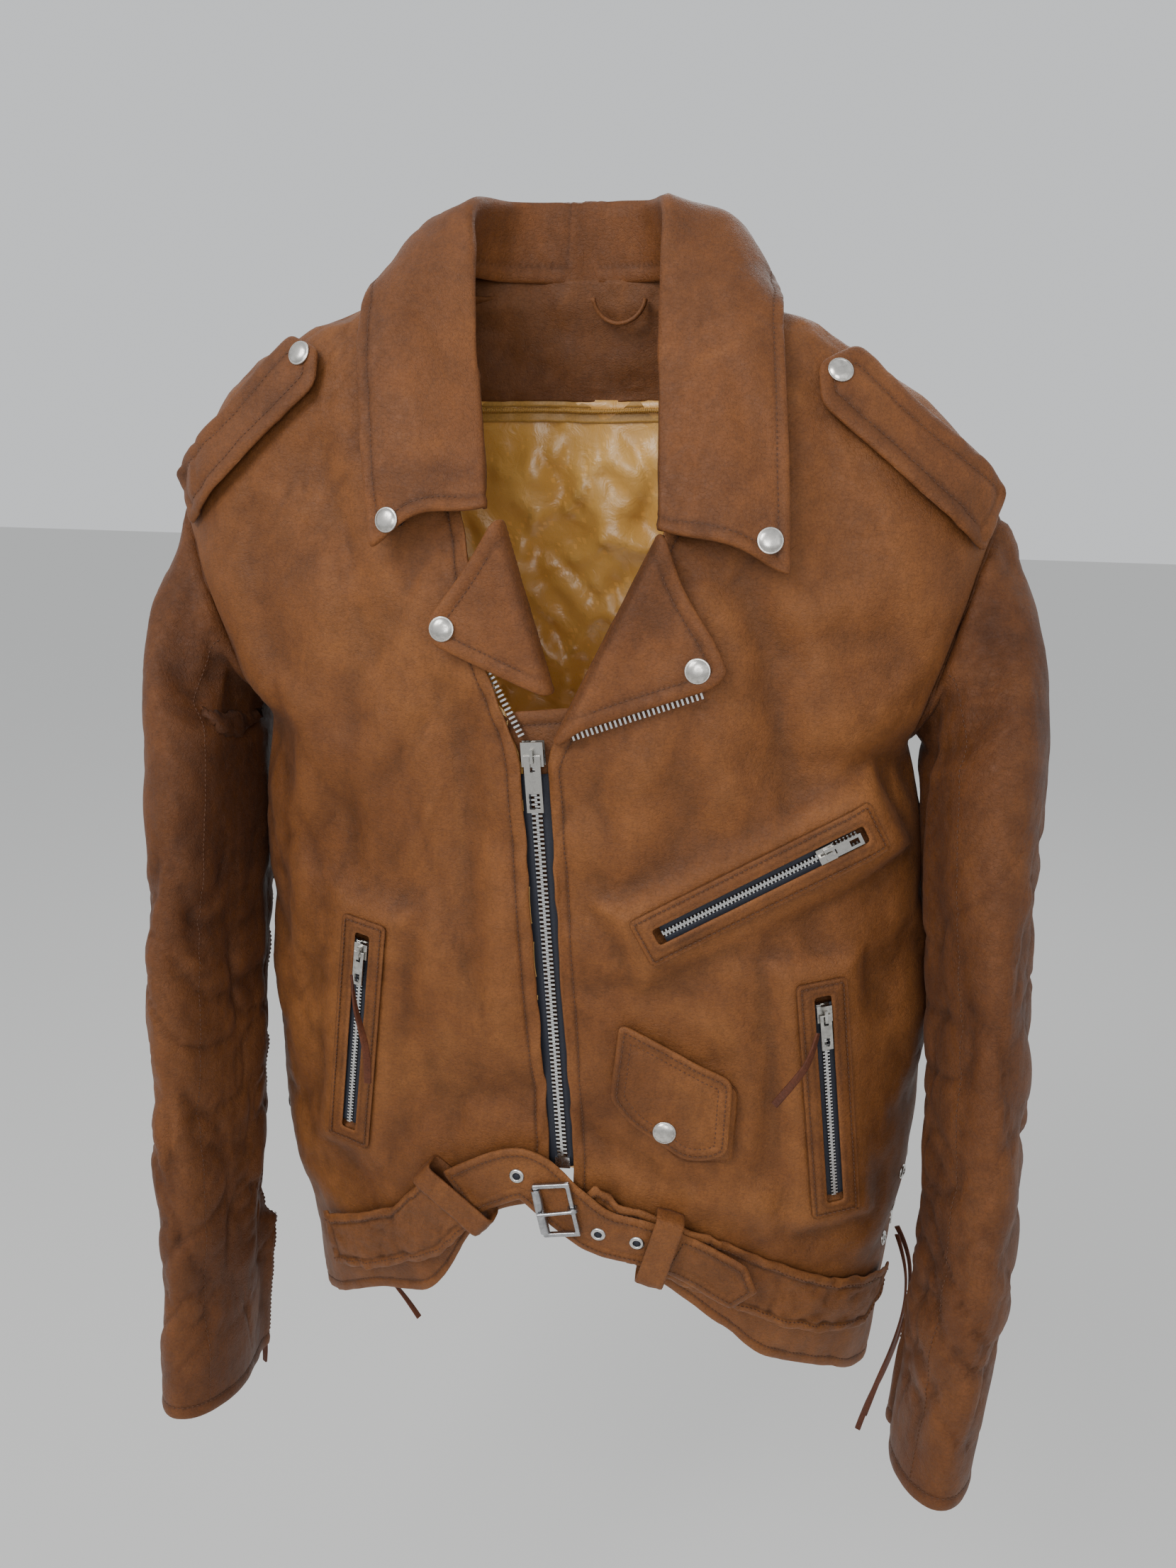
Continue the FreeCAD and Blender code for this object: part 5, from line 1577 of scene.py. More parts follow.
def make_lapel(name, side):
    table = LAPELS[name]
    top, foot = (mm(*p) for p in table["roll"])
    down = unit(foot - top)
    edges = [mm(*p[:3]) for p in table["edge"]]
    middle = np.mean(edges, axis=0)
    out = middle - top
    out = unit(out - down * (out @ down))
    normal = np.cross(down, out)
    if normal[1] > 0:
        normal = -normal
    length = float(np.linalg.norm(foot - top))
    wrap = 5.0 * MM

    def mapped(flat):
        u, v = flat[:, 0], flat[:, 1]
        round_ = np.clip(v, None, wrap) - wrap
        angle = np.clip(round_ / wrap, -math.pi * 0.8, 0)
        across = np.where(v < wrap, wrap + wrap * np.sin(angle), v)
        height = np.where(v < wrap, -wrap * (1 - np.cos(angle)), 0.0)
        curl = 3.0 * MM * smooth(v, 20 * MM, 60 * MM)
        base = top + down * u[:, None] + out * across[:, None] + normal * (height + curl)[:, None]
        bend = noise(base, mm(45, 45, 60), 301) * 1.6 * MM * smooth(v, 4 * MM, 20 * MM)
        tilt = np.where(v < wrap, angle, 0.0)[:, None]
        normals = unit(normal * np.cos(tilt) + out * np.sin(tilt))
        return base + normals * bend[:, None], normals

    outline = [(0.0, -8 * MM, 1 * MM), (0.0, 2 * MM, 2 * MM)]
    for point, corner in zip(edges, table["edge"]):
        gap = point - top
        outline.append((float(gap @ down), float(gap @ out), corner[3] * MM))
    outline += [(length, 2 * MM, 2 * MM), (length, -8 * MM, 1 * MM)]
    piece = patch(f"{name}_lapel_hide", "collar_leather", rounded(outline, 3 * MM), mapped,
                  LEAF_THICK, puff=0.7 * MM, crinkle=0.3 * MM, seed=53 if side < 0 else 59,
                  open_where=lambda flat: flat[:, 1] < 10 * MM)
    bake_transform(piece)
    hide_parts(f"{name}_lapel")
    return piece


for name, side in SIDES:
    make_lapel(name, side)


# ================================================================= pieces lying on the body
class Field:
    """Height of one side of the body over x and z, with its slope."""

    def __init__(self, names, way):
        tree = node_tree(*names)
        self.xs = np.arange(-0.285, 0.285, 0.006)
        self.zs = np.arange(-0.75, 0.03, 0.006)
        heights = np.full((len(self.zs), len(self.xs)), np.nan)
        for i, z in enumerate(self.zs):
            for j, x in enumerate(self.xs):
                hit = tree.ray_cast(Vector((x, -0.5 * way, z)), Vector((0, way, 0)), 0.5)
                if hit[0]:
                    heights[i, j] = hit[0].y
        rows = [i for i in range(len(self.zs)) if (~np.isnan(heights[i])).sum() > 3]
        for i in rows:
            known = ~np.isnan(heights[i])
            heights[i] = np.interp(self.xs, self.xs[known], heights[i, known])
        for j in range(len(self.xs)):
            heights[:, j] = np.interp(self.zs, self.zs[rows], heights[rows, j])
        self.heights = soften(heights[..., None], 2)[..., 0]
        self.way = way

    def y(self, x, z):
        i = np.clip((z - self.zs[0]) / 0.006, 0, len(self.zs) - 1.001)
        j = np.clip((x - self.xs[0]) / 0.006, 0, len(self.xs) - 1.001)
        i0, j0 = i.astype(int), j.astype(int)
        a, b = i - i0, j - j0
        h = self.heights
        return ((h[i0, j0] * (1 - a) + h[i0 + 1, j0] * a) * (1 - b)
                + (h[i0, j0 + 1] * (1 - a) + h[i0 + 1, j0 + 1] * a) * b)

    def at(self, x, z, lift=0.0):
        """Points over (x, z), raised along the outward normal, and the normals."""
        step = 4 * MM
        dx = (self.y(x + step, z) - self.y(x - step, z)) / (2 * step)
        dz = (self.y(x, z + step) - self.y(x, z - step)) / (2 * step)
        normals = unit(np.stack([dx, -np.ones_like(dx), dz], axis=1)) * self.way
        points = np.stack([x, self.y(x, z), z], axis=1)
        return points + normals * (np.zeros(len(x)) + lift)[:, None], normals


FRONT = Field(("right_front_panel", "left_front_panel"), 1)


def along_path(path, lift, wave=0.0, seed=400):
    """Map (distance along, distance across) onto a strap's path of (x, z) points on the front."""
    line = np.array([mm(x, z) for x, z in path])
    dense = at_lengths(line, np.linspace(0, length_of(line), 60))
    dense = soften(dense[:, None], 6)[:, 0]
    dense[0], dense[-1] = line[0], line[-1]
    s = np.concatenate([[0.0], np.cumsum(np.linalg.norm(np.diff(dense, axis=0), axis=1))])
    tangent = unit(np.gradient(dense, axis=0))

    def mapped(flat):
        u, v = flat[:, 0], flat[:, 1]
        spot = np.stack([np.interp(u, s, dense[:, k]) for k in range(2)], axis=1)
        run = unit(np.stack([np.interp(u, s, tangent[:, k]) for k in range(2)], axis=1))
        spot = spot + run * (np.minimum(u, 0) + np.maximum(u - s[-1], 0))[:, None]
        spot = spot + np.stack([-run[:, 1], run[:, 0]], axis=1) * v[:, None]
        height = lift(u) if callable(lift) else lift
        points, normals = FRONT.at(spot[:, 0], spot[:, 1], height)
        bumps = noise(points, mm(17, 17, 17), seed) + 0.5 * noise(points, mm(8, 8, 8), seed + 1)
        return points + normals * (bumps * wave)[:, None], normals

    return mapped, float(s[-1])


# ================================================================= epaulettes
EPAULETTES = {
    "right": (((-250, -120), (-156, -36)), ((-266, -92), (-178, -6))),
    "left": (((243, -122), (145, -44)), ((255, -90), (162, -10))),
}


def make_epaulette(name, side):
    (a, b), (c, d) = ((mm(*p) for p in row) for row in EPAULETTES[name])
    length = float(np.linalg.norm((b + d - a - c) / 2))
    width = float(np.linalg.norm((c + d - a - b) / 2))

    def mapped(flat):
        u, v = flat[:, :1] / length, flat[:, 1:] / width
        spot = (a * (1 - u) + b * u) * (1 - v) + (c * (1 - u) + d * u) * v
        points, normals = FRONT.at(spot[:, 0], spot[:, 1], 5.0 * MM)
        head = 1 - smooth(flat[:, 0], 10 * MM, 60 * MM)
        waves = noise(points, mm(22, 22, 22), 431) * 2.6 * MM
        waves += noise(points, mm(10, 10, 10), 433) * 1.1 * MM
        waves -= ridges(points, mm(16, 16, 16), 437, 3) * 1.6 * MM
        sag = -2.0 * MM * smooth(-flat[:, 0], -16 * MM, 6 * MM)
        return points + normals * (waves * (0.25 + 0.75 * head) + sag)[:, None], normals

    point = length + 10 * MM
    outline = rounded(
        [(-6 * MM, -1 * MM, 4 * MM), (length * 0.5, 1 * MM, 20 * MM), (length - 3 * MM, 0.5 * MM),
         (point, width * 0.42, 5 * MM), (length - 5 * MM, width, 6 * MM),
         (length * 0.5, width - 1 * MM, 20 * MM), (-6 * MM, width + 3 * MM, 4 * MM)], 6 * MM)
    piece = patch(f"{name}_epaulette_hide", "collar_leather", outline, mapped, TRIM + 0.8 * MM,
                  puff=0.8 * MM, crinkle=0.5 * MM, seed=441 if side < 0 else 447,
                  open_where=lambda flat: flat[:, 0] < 8 * MM)
    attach(piece, f"{name}_epaulette_strap")
    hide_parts(f"{name}_epaulette")


for name, side in SIDES:
    make_epaulette(name, side)


# ================================================================= pockets
def plane_of(zip_, out, wave=0.25 * MM, seed=500):
    """Map (along, across) onto the plane of a zip, raised by out."""
    def mapped(flat):
        base = (zip_.start + flat[:, :1] * zip_.along + flat[:, 1:] * zip_.across
                + zip_.out * (out - zip_.fall(flat[:, :1])))
        normals = np.repeat(zip_.out[None], len(flat), axis=0)
        bumps = noise(base, mm(20, 20, 20), seed) * wave
        return base + normals * bumps[:, None], normals
    return mapped


def box_outline(x0, x1, y0, y1):
    return [(x0, y0), (x1, y0), (x1, y1), (x0, y1)]


def make_welts():
    for name, pocket in ZIPS.items():
        end = pocket.length
        frame_edge = rounded(box_outline(-WELT_OVER, end + WELT_OVER, -WELT_HALF, WELT_HALF),
                             4 * MM)
        slit = rounded(box_outline(-5 * MM, end + 5.5 * MM, -SLIT_HALF, SLIT_HALF), 2 * MM)
        piece = patch(f"{name}_pocket_frame", "body_leather", frame_edge,
                      plane_of(pocket, 0.9 * MM, 0.15 * MM), 1.2 * MM, holes=[slit],
                      puff=0.2 * MM, lip=0.3 * MM, stitches=(3 * MM, 8.5 * MM),
                      crinkle=0.15 * MM, seed=510, sink=1.1 * MM)
        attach(piece, "root")
        if name == "chest":
            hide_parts("pocket_welts")


make_welts()

COIN_CENTRE = mm(85, -470)
COIN_PARTS = {
    "coin_pouch_hide": (
        ((52, -432), (126, -464), (125, -519), (90, -519), (47, -481)), 2.2, "root",
        "coin_pocket"),
    "coin_flap_hide": (
        ((48, -421), (122, -457), (121, -509), (108, -515), (91, -514), (58, -493), (43, -476)),
        5.0, "coin_flap", "coin_flap"),
}


def coin_surface(lift, name):
    centre, normal = FRONT.at(COIN_CENTRE[:1], COIN_CENTRE[1:])
    centre, normal = centre[0], normal[0]

    def mapped(flat):
        drop = ((centre[0] - flat[:, 0]) * normal[0] + (centre[2] - flat[:, 1]) * normal[2])
        y = centre[1] + drop / normal[1]
        points = np.stack([flat[:, 0], y, flat[:, 1]], axis=1)
        bumps = noise(points, mm(24, 24, 24), 531) * 1.3 * MM
        bumps -= ridges(points, mm(20, 20, 14), 533, 3) * 0.8 * MM
        far = smooth(-flat[:, 1], 0.43, 0.50) * (1.6 * MM if "flap" in name else 0.4 * MM)
        shift = lift * MM + bumps + far
        return points + normal * shift[:, None], np.repeat(normal[None], len(flat), axis=0)

    return mapped


def make_coin_pocket():
    for name, (corners, lift, body, node) in COIN_PARTS.items():
        outline = rounded([tuple(mm(*corner)) for corner in corners], 7 * MM)
        piece = patch(name, "body_leather", outline, coin_surface(lift, name), TRIM,
                      puff=0.6 * MM, crinkle=0.4 * MM, seed=541, stitches=(4 * MM, 9 * MM)
                      if "flap" in name else (STITCH_INSET,),
                      sink=2.4 * MM if "pouch" in name else 0.0)
        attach(piece, body)
        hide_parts(node)


make_coin_pocket()


# ================================================================= belt
def band_grid(tree, angles, z_range, rows):
    """Grid over a strap of the frame that runs round the body: rows from its lower to its
    upper edge."""
    heights = np.arange(z_range[0], z_range[1], 0.002)
    columns = []
    for angle in angles:
        met = [z for z in heights if from_outside(tree, angle, z)]
        if not met:
            continue
        low, high = met[0], met[-1]
        column = []
        for z in np.linspace(low, high, rows):
            point = from_outside(tree, angle, z)
            column.append(tuple(point) if point else column[-1])
        columns.append(column)
    return np.array(columns).transpose(1, 0, 2)


def make_bands():
    tree = node_tree("belt_bands")
    spans = {
        "right_belt_band": (108.5, 155.0), "left_belt_band": (8.0, 84.0),
        "back_belt_band": (181.0, 359.0),
    }
    for number, (name, (first, last)) in enumerate(spans.items()):
        found = angle_span(tree, -0.655 if number == 2 else -0.62, math.radians(first),
                           math.radians(last))
        low, high = math.radians(first), math.radians(last)
        if number == 2 and found:
            low, high = found
        angles = np.linspace(low, high, 70 if number == 2 else 44)
        grid = band_grid(tree, angles, (-0.70, -0.53), 13)
        grid = refine(grid, 0, 3.2 * MM, low=True, high=True)
        grid = refine(grid, 1, 3.6 * MM, low=True, high=True)
        sign = 1.0
        normals = grid_normals(grid, 1.0)
        outward = grid - np.array([0.0, AXIS_Y, 0.0])
        if (normals * outward)[..., :2].sum() < 0:
            sign = -1.0
            normals = -normals
        waves = noise(grid, mm(30, 30, 22), 600 + number) * 1.4 * MM
        waves -= ridges(grid, mm(17, 17, 20), 610 + number, 3) * 1.6 * MM
        waves -= ridges(grid, mm(8, 8, 7), 615 + number, 2.5) * 0.9 * MM
        waves += noise(grid, mm(7, 7, 6), 620 + number) * 0.6 * MM
        waves += 1.2 * MM
        grid = grid + normals * waves[..., None]
        stitch = EDGE_STEPS.tolist().index(6.6 * MM)
        rows = grid.shape[0]
        seams = [(1, stitch, 2, grid.shape[1] - 2), (1, rows - 1 - stitch, 2, grid.shape[1] - 2)]
        piece = leather_sheet(f"{name}_hide", "belt_leather", grid, sign, LEATHER,
                              turned=(1, 1, 1, 1), seams=seams, puff=0.9 * MM)
        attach(piece, "root")
        if number == 0:
            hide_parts("belt_bands")


make_bands()

STRAPS = {
    "belt_tongue": (
        ((-60, -562), (-40, -549), (-14, -538), (12, -558), (40, -578), (66, -583), (90, -590)),
        19.0, "root"),
    "belt_tail": (((86, -589), (112, -600), (136, -612)), 18.0, "belt_tail"),
}


def tail_lift(along):
    """Height of the belt's tail over the body: its tip stands off the band."""
    return 6.4 * MM + 9.0 * MM * smooth(along, 8 * MM, 60 * MM)


def make_straps():
    for name, (path, half, body) in STRAPS.items():
        raised = tail_lift if name == "belt_tail" else 6.4 * MM
        mapped, length = along_path(path, raised, 0.7 * MM, 640)
        half = half * MM
        if name == "belt_tail":
            tip = [(length - 1 * MM, -half), (length + 6 * MM, half * 0.2, 2 * MM),
                   (length - 10 * MM, half)]
            outline = [(-1 * MM, -half), *tip, (-1 * MM, half)]
        else:
            outline = box_outline(0, length, -half, half)
        piece = patch(f"{name}_hide", "belt_leather", rounded(outline, 2 * MM), mapped,
                      TRIM + 0.6 * MM, puff=0.6 * MM, crinkle=0.6 * MM, seed=650,
                      stitches=(5 * MM,))
        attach(piece, body)
        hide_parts(name)


make_straps()


def ring_strip(centre, across, out, size, width, thickness):
    """Points and faces of a flat strip bent into a closed, rounded oblong."""
    high, deep = size
    path = rounded([(-high / 2, -deep / 2), (high / 2, -deep / 2), (high / 2, deep / 2),
                    (-high / 2, deep / 2)], 4 * MM)
    path = evenly(path, 2.5 * MM)
    run = np.cross(across, out)
    ahead = unit(np.roll(path, -1, axis=0) - np.roll(path, 1, axis=0))
    outward = np.stack([ahead[:, 1], -ahead[:, 0]], axis=1)
    section = [(-0.5, -0.2), (-0.5, 0.3), (-0.42, 0.5), (-0.3, 0.44), (0.0, 0.6), (0.3, 0.44),
               (0.42, 0.5), (0.5, 0.3), (0.5, -0.2)]
    points = []
    for spot, away in zip(path, outward):
        for along, lift in section:
            flat = spot + away * lift * thickness
            points.append(centre + across * flat[0] + out * flat[1] + run * along * width)
    count = len(section)
    faces = []
    for i in range(len(path)):
        for k in range(count):
            a = i * count + k
            b = i * count + (k + 1) % count
            c = ((i + 1) % len(path)) * count + (k + 1) % count
            d = ((i + 1) % len(path)) * count + k
            faces.append([a, b, c, d])
    points = np.array(points)
    points += (noise(points, mm(9, 9, 9), 661) * 0.5 * MM)[:, None] * out
    return points, faces


def joined(parts):
    points, faces = [], []
    for more, more_faces in parts:
        first = len(points)
        points += list(more)
        faces += [[first + index for index in face] for face in more_faces]
    return np.array(points), faces


def make_loops():
    parts = []
    for x, z, turn, high, deep in ((-62, -565, 0.9, 58, 14.5), (79, -587, -0.25, 56, 14)):
        spot, normal = FRONT.at(np.array([x * MM]), np.array([z * MM]), 7.0 * MM)
        run = np.array([math.cos(turn), 0, math.sin(turn)])
        across = unit(np.cross(normal[0], run))
        parts.append(ring_strip(spot[0], across, normal[0], mm(high, deep), 19 * MM, 2.6 * MM))
    points, faces = joined(parts)
    piece = make_piece("belt_loops_hide", points, faces, "belt_leather")
    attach(piece, "root")
    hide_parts("belt_loops")


make_loops()


# ================================================================= linings
HIDES = surface_of(*[bpy.data.objects[f"{name}_hide"] for name in
                     ("right_front", "left_front", "back")])


def wrinkled(grid, seed, deep):
    """Inward crumpling of loose satin."""
    folds = noise(grid, mm(30, 30, 56), seed) * 0.5
    folds += noise(turned_by(grid, 35), mm(13, 20, 44), seed + 1) * 0.45
    folds -= ridges(turned_by(grid, -28), mm(24, 30, 46), seed + 2, 2.2) * 0.8
    folds += ridges(turned_by(grid, 40), mm(18, 20, 40), seed + 5, 2.2) * 0.6
    folds -= ridges(turned_by(grid, 62), mm(13, 18, 26), seed + 3, 2.2) * 0.45
    folds += noise(grid, mm(6, 6, 9), seed + 4) * 0.14
    return (folds - 0.5) * deep


def make_linings():
    tree = node_tree("body_lining")
    spans = {"back": (183.0, 357.0), "right": (92.0, 178.0), "left": (2.0, 88.0)}
    for number, (name, (low, high)) in enumerate(spans.items()):
        rows = []
        heights = np.linspace(-0.715, -0.042, 96)
        for z in heights:
            found = angle_span(tree, z, math.radians(low), math.radians(high))
            row = []
            if found:
                for share in np.linspace(0.004, 0.996, 90 if name == "back" else 44):
                    point = from_outside(tree, found[0] + share * (found[1] - found[0]), z)
                    row.append(tuple(point) if point else (row[-1] if row else None))
            if row and all(row):
                rows.append(row)
        grid = refine(np.array(rows), 0, 5.0 * MM)
        grid = refine(grid, 1, 5.0 * MM)
        normals = grid_normals(grid, 1.0)
        outward = grid - np.array([0.0, AXIS_Y, 0.0])
        sign = 1.0 if (normals * outward)[..., :2].sum() > 0 else -1.0
        normals = normals * sign
        deep = 9.0 * MM if name == "back" else 3.5 * MM
        middle = grid.shape[1] // 2
        folds = wrinkled(grid, 700 + 10 * number, deep)
        if name == "back":
            column = np.abs(np.arange(grid.shape[1]) - middle)[None] * 5.0 * MM
            folds = folds - 2.5 * MM * np.exp(-((column / (3 * MM)) ** 2))
        edge = np.minimum(np.arange(grid.shape[1]), np.arange(grid.shape[1])[::-1])[None] / 4
        folds = np.minimum(folds, 0) * np.clip(edge + 0.2, 0, 1)
        folds = folds * smooth(-grid[..., 2], 0.046, 0.080)
        grid = grid + normals * folds[..., None]
        pins = np.full(grid.shape[:2], 0.12)
        pins[:2] = 1
        pins[-3:] = 1
        pins[:, :2] = 1
        pins[:, -2:] = 1
        pins[:, middle] = 0.7
        before = grid
        grid = settle(grid, pins, 0.05, 18, 6 * MM, stiff=0.4)
        drift = ((grid - before) * normals).sum(axis=2)
        grid = grid - normals * np.maximum(drift, 0)[..., None]
        grid = inside_hide(HIDES, grid, normals, 1.8 * MM)
        piece = leather_sheet(f"{name}_body_satin", "lining_satin", grid, sign, 0.5 * MM, puff=0.0)
        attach(piece, "root")
        if name == "back":
            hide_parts("body_lining")


make_linings()


def make_facings():
    tree = node_tree("inner_facings")
    rows = []
    for z in np.linspace(-0.0435, 0.0155, 18):
        row = []
        for angle in np.linspace(math.radians(203.0), math.radians(337.0), 80):
            point = from_outside(tree, angle, z)
            row.append(tuple(point) if point else row[-1])
        rows.append(row)
    rows = np.array(rows)
    above = [rows[-1] + np.array([0, 0, 3.5 * MM * k]) for k in (1, 2, 3, 4, 5)]
    grid = refine(np.concatenate([rows, np.array(above)]), 0, 3.5 * MM, low=True)
    grid = refine(grid, 1, 4.0 * MM)
    normals = grid_normals(grid, 1.0)
    outward = grid - np.array([0.0, AXIS_Y, 0.0])
    sign = 1.0 if (normals * outward)[..., :2].sum() > 0 else -1.0
    normals = normals * sign
    waves = noise(grid, mm(22, 22, 18), 801) * 1.6 * MM - ridges(grid, mm(12, 12, 10), 803) * MM
    wave_edge = noise(grid, mm(40, 40, 400), 807) * 3.0 * MM * smooth(-grid[..., 2], 0.01, 0.045)
    grid = grid + normals * waves[..., None] + np.array([0, 0, 1.0]) * wave_edge[..., None]
    stitch = EDGE_STEPS.tolist().index(4.6 * MM)
    piece = leather_sheet("neck_facing_hide", "facing_leather", grid, sign, 1.4 * MM,
                          turned=(1, 0, 0, 0), seams=[(1, stitch, 2, grid.shape[1] - 2)])
    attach(piece, "root")
    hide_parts("inner_facings")

    edge = grid[0] - np.array([0, 0, 5.5]) * MM
    inward = -normals[0] * 3.5 * MM
    coil = []
    turns = at_lengths(edge + inward, np.linspace(0, length_of(edge), 900))
    phase = np.arange(900) * 2 * math.pi / 4.5
    turns = turns + np.stack([np.zeros(900), np.cos(phase), np.sin(phase)], 1) * 1.5 * MM
    coil.append(tube_along(turns, 0.45 * MM, 5))
    coil.append(tube_along(edge + inward, 1.2 * MM, 6))
    for shift in (-5.0, 5.0):
        ribbon = edge + np.array([0, 0, shift]) * MM
        band = np.stack([ribbon + np.array([0, 0, k]) * MM for k in (-3.4, -1.7, 0, 1.7, 3.4)])
        flat = np.concatenate([(band + normals[:1] * 0.4 * MM).reshape(-1, 3),
                               (band - normals[:1] * 0.4 * MM).reshape(-1, 3)])
        coil.append((flat, shell_faces(5, band.shape[1], flip=sign < 0)))
    points, faces = joined(coil)
    piece = make_piece("liner_zip_coil", points, faces, "liner_coil")
    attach(piece, "root")
    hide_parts("liner_zip")

    flap, length = along_path(((6, -527), (4, -400), (-4, -300), (-12, -235)), -9.0 * MM, 0.8 * MM)
    outline = rounded(box_outline(0, length + 12 * MM, -30 * MM, 30 * MM), 8 * MM)
    piece = patch("zip_storm_flap", "facing_leather", outline, flap, 1.6 * MM, crinkle=0.4 * MM)
    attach(piece, "root")


make_facings()


def make_hang_loop():
    turn = np.linspace(math.pi * 1.03, math.pi * 1.97, 26)
    path = np.stack([16 * MM + 17 * MM * np.cos(turn), 33.5 * MM + 1.5 * MM * np.cos(3 * turn),
                     22 * MM + 17 * MM * np.sin(turn)], axis=1)
    wide = np.array([0.0, 1.0, 0.0])
    ahead = unit(np.gradient(path, axis=0))
    out = unit(np.cross(ahead, wide))
    section = [(-0.5, -0.5), (-0.5, 0.5), (-0.2, 0.62), (0.2, 0.62), (0.5, 0.5), (0.5, -0.5)]
    points = []
    for spot, away in zip(path, out):
        for along, lift in section:
            points.append(spot + wide * along * 5 * MM + away * lift * 2.2 * MM)
    count = len(section)
    faces = [[i * count + k, i * count + (k + 1) % count, (i + 1) * count + (k + 1) % count,
              (i + 1) * count + k] for i in range(len(path) - 1) for k in range(count)]
    faces += [list(range(count))[::-1], [(len(path) - 1) * count + k for k in range(count)]]
    piece = make_piece("hang_loop_strip", points, faces, "facing_leather")
    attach(piece, "root")
    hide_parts("hang_loop")


make_hang_loop()


# ================================================================= zip tapes and pocket bags
def strip_mesh(grid, normals, thickness):
    """Points and faces of a thin strip over a grid."""
    points = np.concatenate([(grid + normals * thickness / 2).reshape(-1, 3),
                             (grid - normals * thickness / 2).reshape(-1, 3)])
    return points, shell_faces(*grid.shape[:2])


def straight_tapes(zip_, inner, outer, parted=0.0, slider=1.0, drop=0.0):
    parts = []
    for hand in (-1, 1):
        places = np.linspace(0, zip_.length, 40)
        widths = np.linspace(0, 1, 5)
        gap = np.where(places > slider * zip_.length, parted, 0.0)
        across = hand * (inner + gap[:, None] + (outer - inner - gap[:, None]) * widths[None])
        grid = (zip_.start + places[:, None, None] * zip_.along
                + across[..., None] * zip_.across)
        normals = np.broadcast_to(zip_.out, grid.shape)
        ripple = noise(grid, mm(12, 12, 12), 901) * 0.2 * MM * widths[None] - widths[None] * drop
        grid = grid + normals * ripple[..., None]
        parts.append(strip_mesh(grid if hand > 0 else grid[:, ::-1], normals, 0.6 * MM))
    return parts


def find_main_zip():
    teeth = node_points("main_zip_teeth")
    along = teeth[teeth[:, 2] < -0.262]
    return Zip(along)


def make_tapes():
    main = find_main_zip()
    parts = straight_tapes(main, 3.4 * MM, 14 * MM, drop=3.5 * MM)
    for name, pocket in ZIPS.items():
        share = 0.82 if name == "chest" else 0.94
        parts += straight_tapes(pocket, 2.2 * MM, 11 * MM, 2.4 * MM, share, 1.2 * MM)
    points, faces = joined(parts)
    piece = make_piece("zip_tape_strips", points, faces, "zip_tape")
    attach(piece, "root")
    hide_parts("zip_tapes")

    for name, pocket in ZIPS.items():
        start, end = pocket.start, pocket.start + pocket.along * pocket.length
        xs = np.linspace(min(start[0], end[0]) - 14 * MM, max(start[0], end[0]) + 14 * MM, 14)
        zs = np.linspace(min(start[2], end[2]) - 10 * MM, max(start[2], end[2]) + 8 * MM, 24)
        flat = np.stack(np.meshgrid(xs, zs), axis=-1).reshape(-1, 2)
        spots, normals = FRONT.at(flat[:, 0], flat[:, 1], -7.0 * MM)
        shape = (len(zs), len(xs), 3)
        place = spots.reshape(shape)
        spots = spots - normals * (np.abs(noise(spots, mm(20, 20, 20), 911)) * MM)[:, None]
        grid, normals = spots.reshape(shape), normals.reshape(shape)
        grid = inside_hide(HIDES, grid, normals, 0.9 * MM)
        points, faces = strip_mesh(grid, normals, 0.8 * MM)
        piece = make_piece(f"{name}_pocket_cloth", points, faces, "lining_satin")
        flat, area = cut_size(place, 1.0)
        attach(piece, "root")
        if name == "chest":
            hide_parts("pocket_bags")


make_tapes()


def turned_piece(profile, segments=28):
    """Points and faces of a profile of (radius, height) turned about Z, open at neither end."""
    points = [(0.0, 0.0, profile[0][1])]
    for radius, height in profile[1:]:
        for k in range(segments):
            a = 2 * math.pi * k / segments
            points.append((radius * math.cos(a), radius * math.sin(a), height))
    faces = [[0, 1 + k, 1 + (k + 1) % segments] for k in range(segments)]
    for ring in range(len(profile) - 2):
        for k in range(segments):
            a = 1 + ring * segments + k
            b = 1 + ring * segments + (k + 1) % segments
            faces.append([a, a + segments, b + segments, b])
    last = 1 + (len(profile) - 2) * segments
    faces.append([last + k for k in reversed(range(segments))])
    return np.array(points) * MM, faces


SNAP_PROFILE = ((0, 3.0), (2.4, 2.95), (4.6, 2.6), (6.0, 1.95), (6.6, 1.5), (6.9, 1.25),
                (7.2, 1.4), (7.6, 1.2), (7.7, 0.7), (7.5, 0.1), (7.2, -0.9))


def set_on(points, place, normal):
    """Points turned so that Z is the normal, standing on a place."""
    side = unit(np.cross(normal, UPRIGHT))
    up = np.cross(normal, side)
    return place + points[:, :1] * side + points[:, 1:2] * up + points[:, 2:] * normal


def resting(tree, spot, normal):
    """Place and normal of a small hard piece pressed onto a surface near a spot."""
    reach = 16 * MM
    found, ways = [], []
    side = unit(np.cross(normal, UPRIGHT))
    up = np.cross(normal, side)
    for dx, dy in ((0, 0), (4, 0), (-4, 0), (0, 4), (0, -4)):
        start = spot + normal * reach + (side * dx + up * dy) * MM
        hit = tree.ray_cast(Vector(start), Vector(-normal), 2 * reach)
        if hit[0]:
            found.append(np.array(hit[0]) - (side * dx + up * dy) * MM)
            ways.append(np.array(hit[1]))
    if not found:
        return spot, normal
    way = unit(np.mean(ways, axis=0))
    if way @ normal < 0:
        way = -way
    return np.mean(found, axis=0), unit(way * 0.6 + normal * 0.4)


def flat_axis(points):
    centre = (points.min(axis=0) + points.max(axis=0)) / 2
    _, _, axes = np.linalg.svd(points - points.mean(axis=0), full_matrices=False)
    return centre, axes[2]


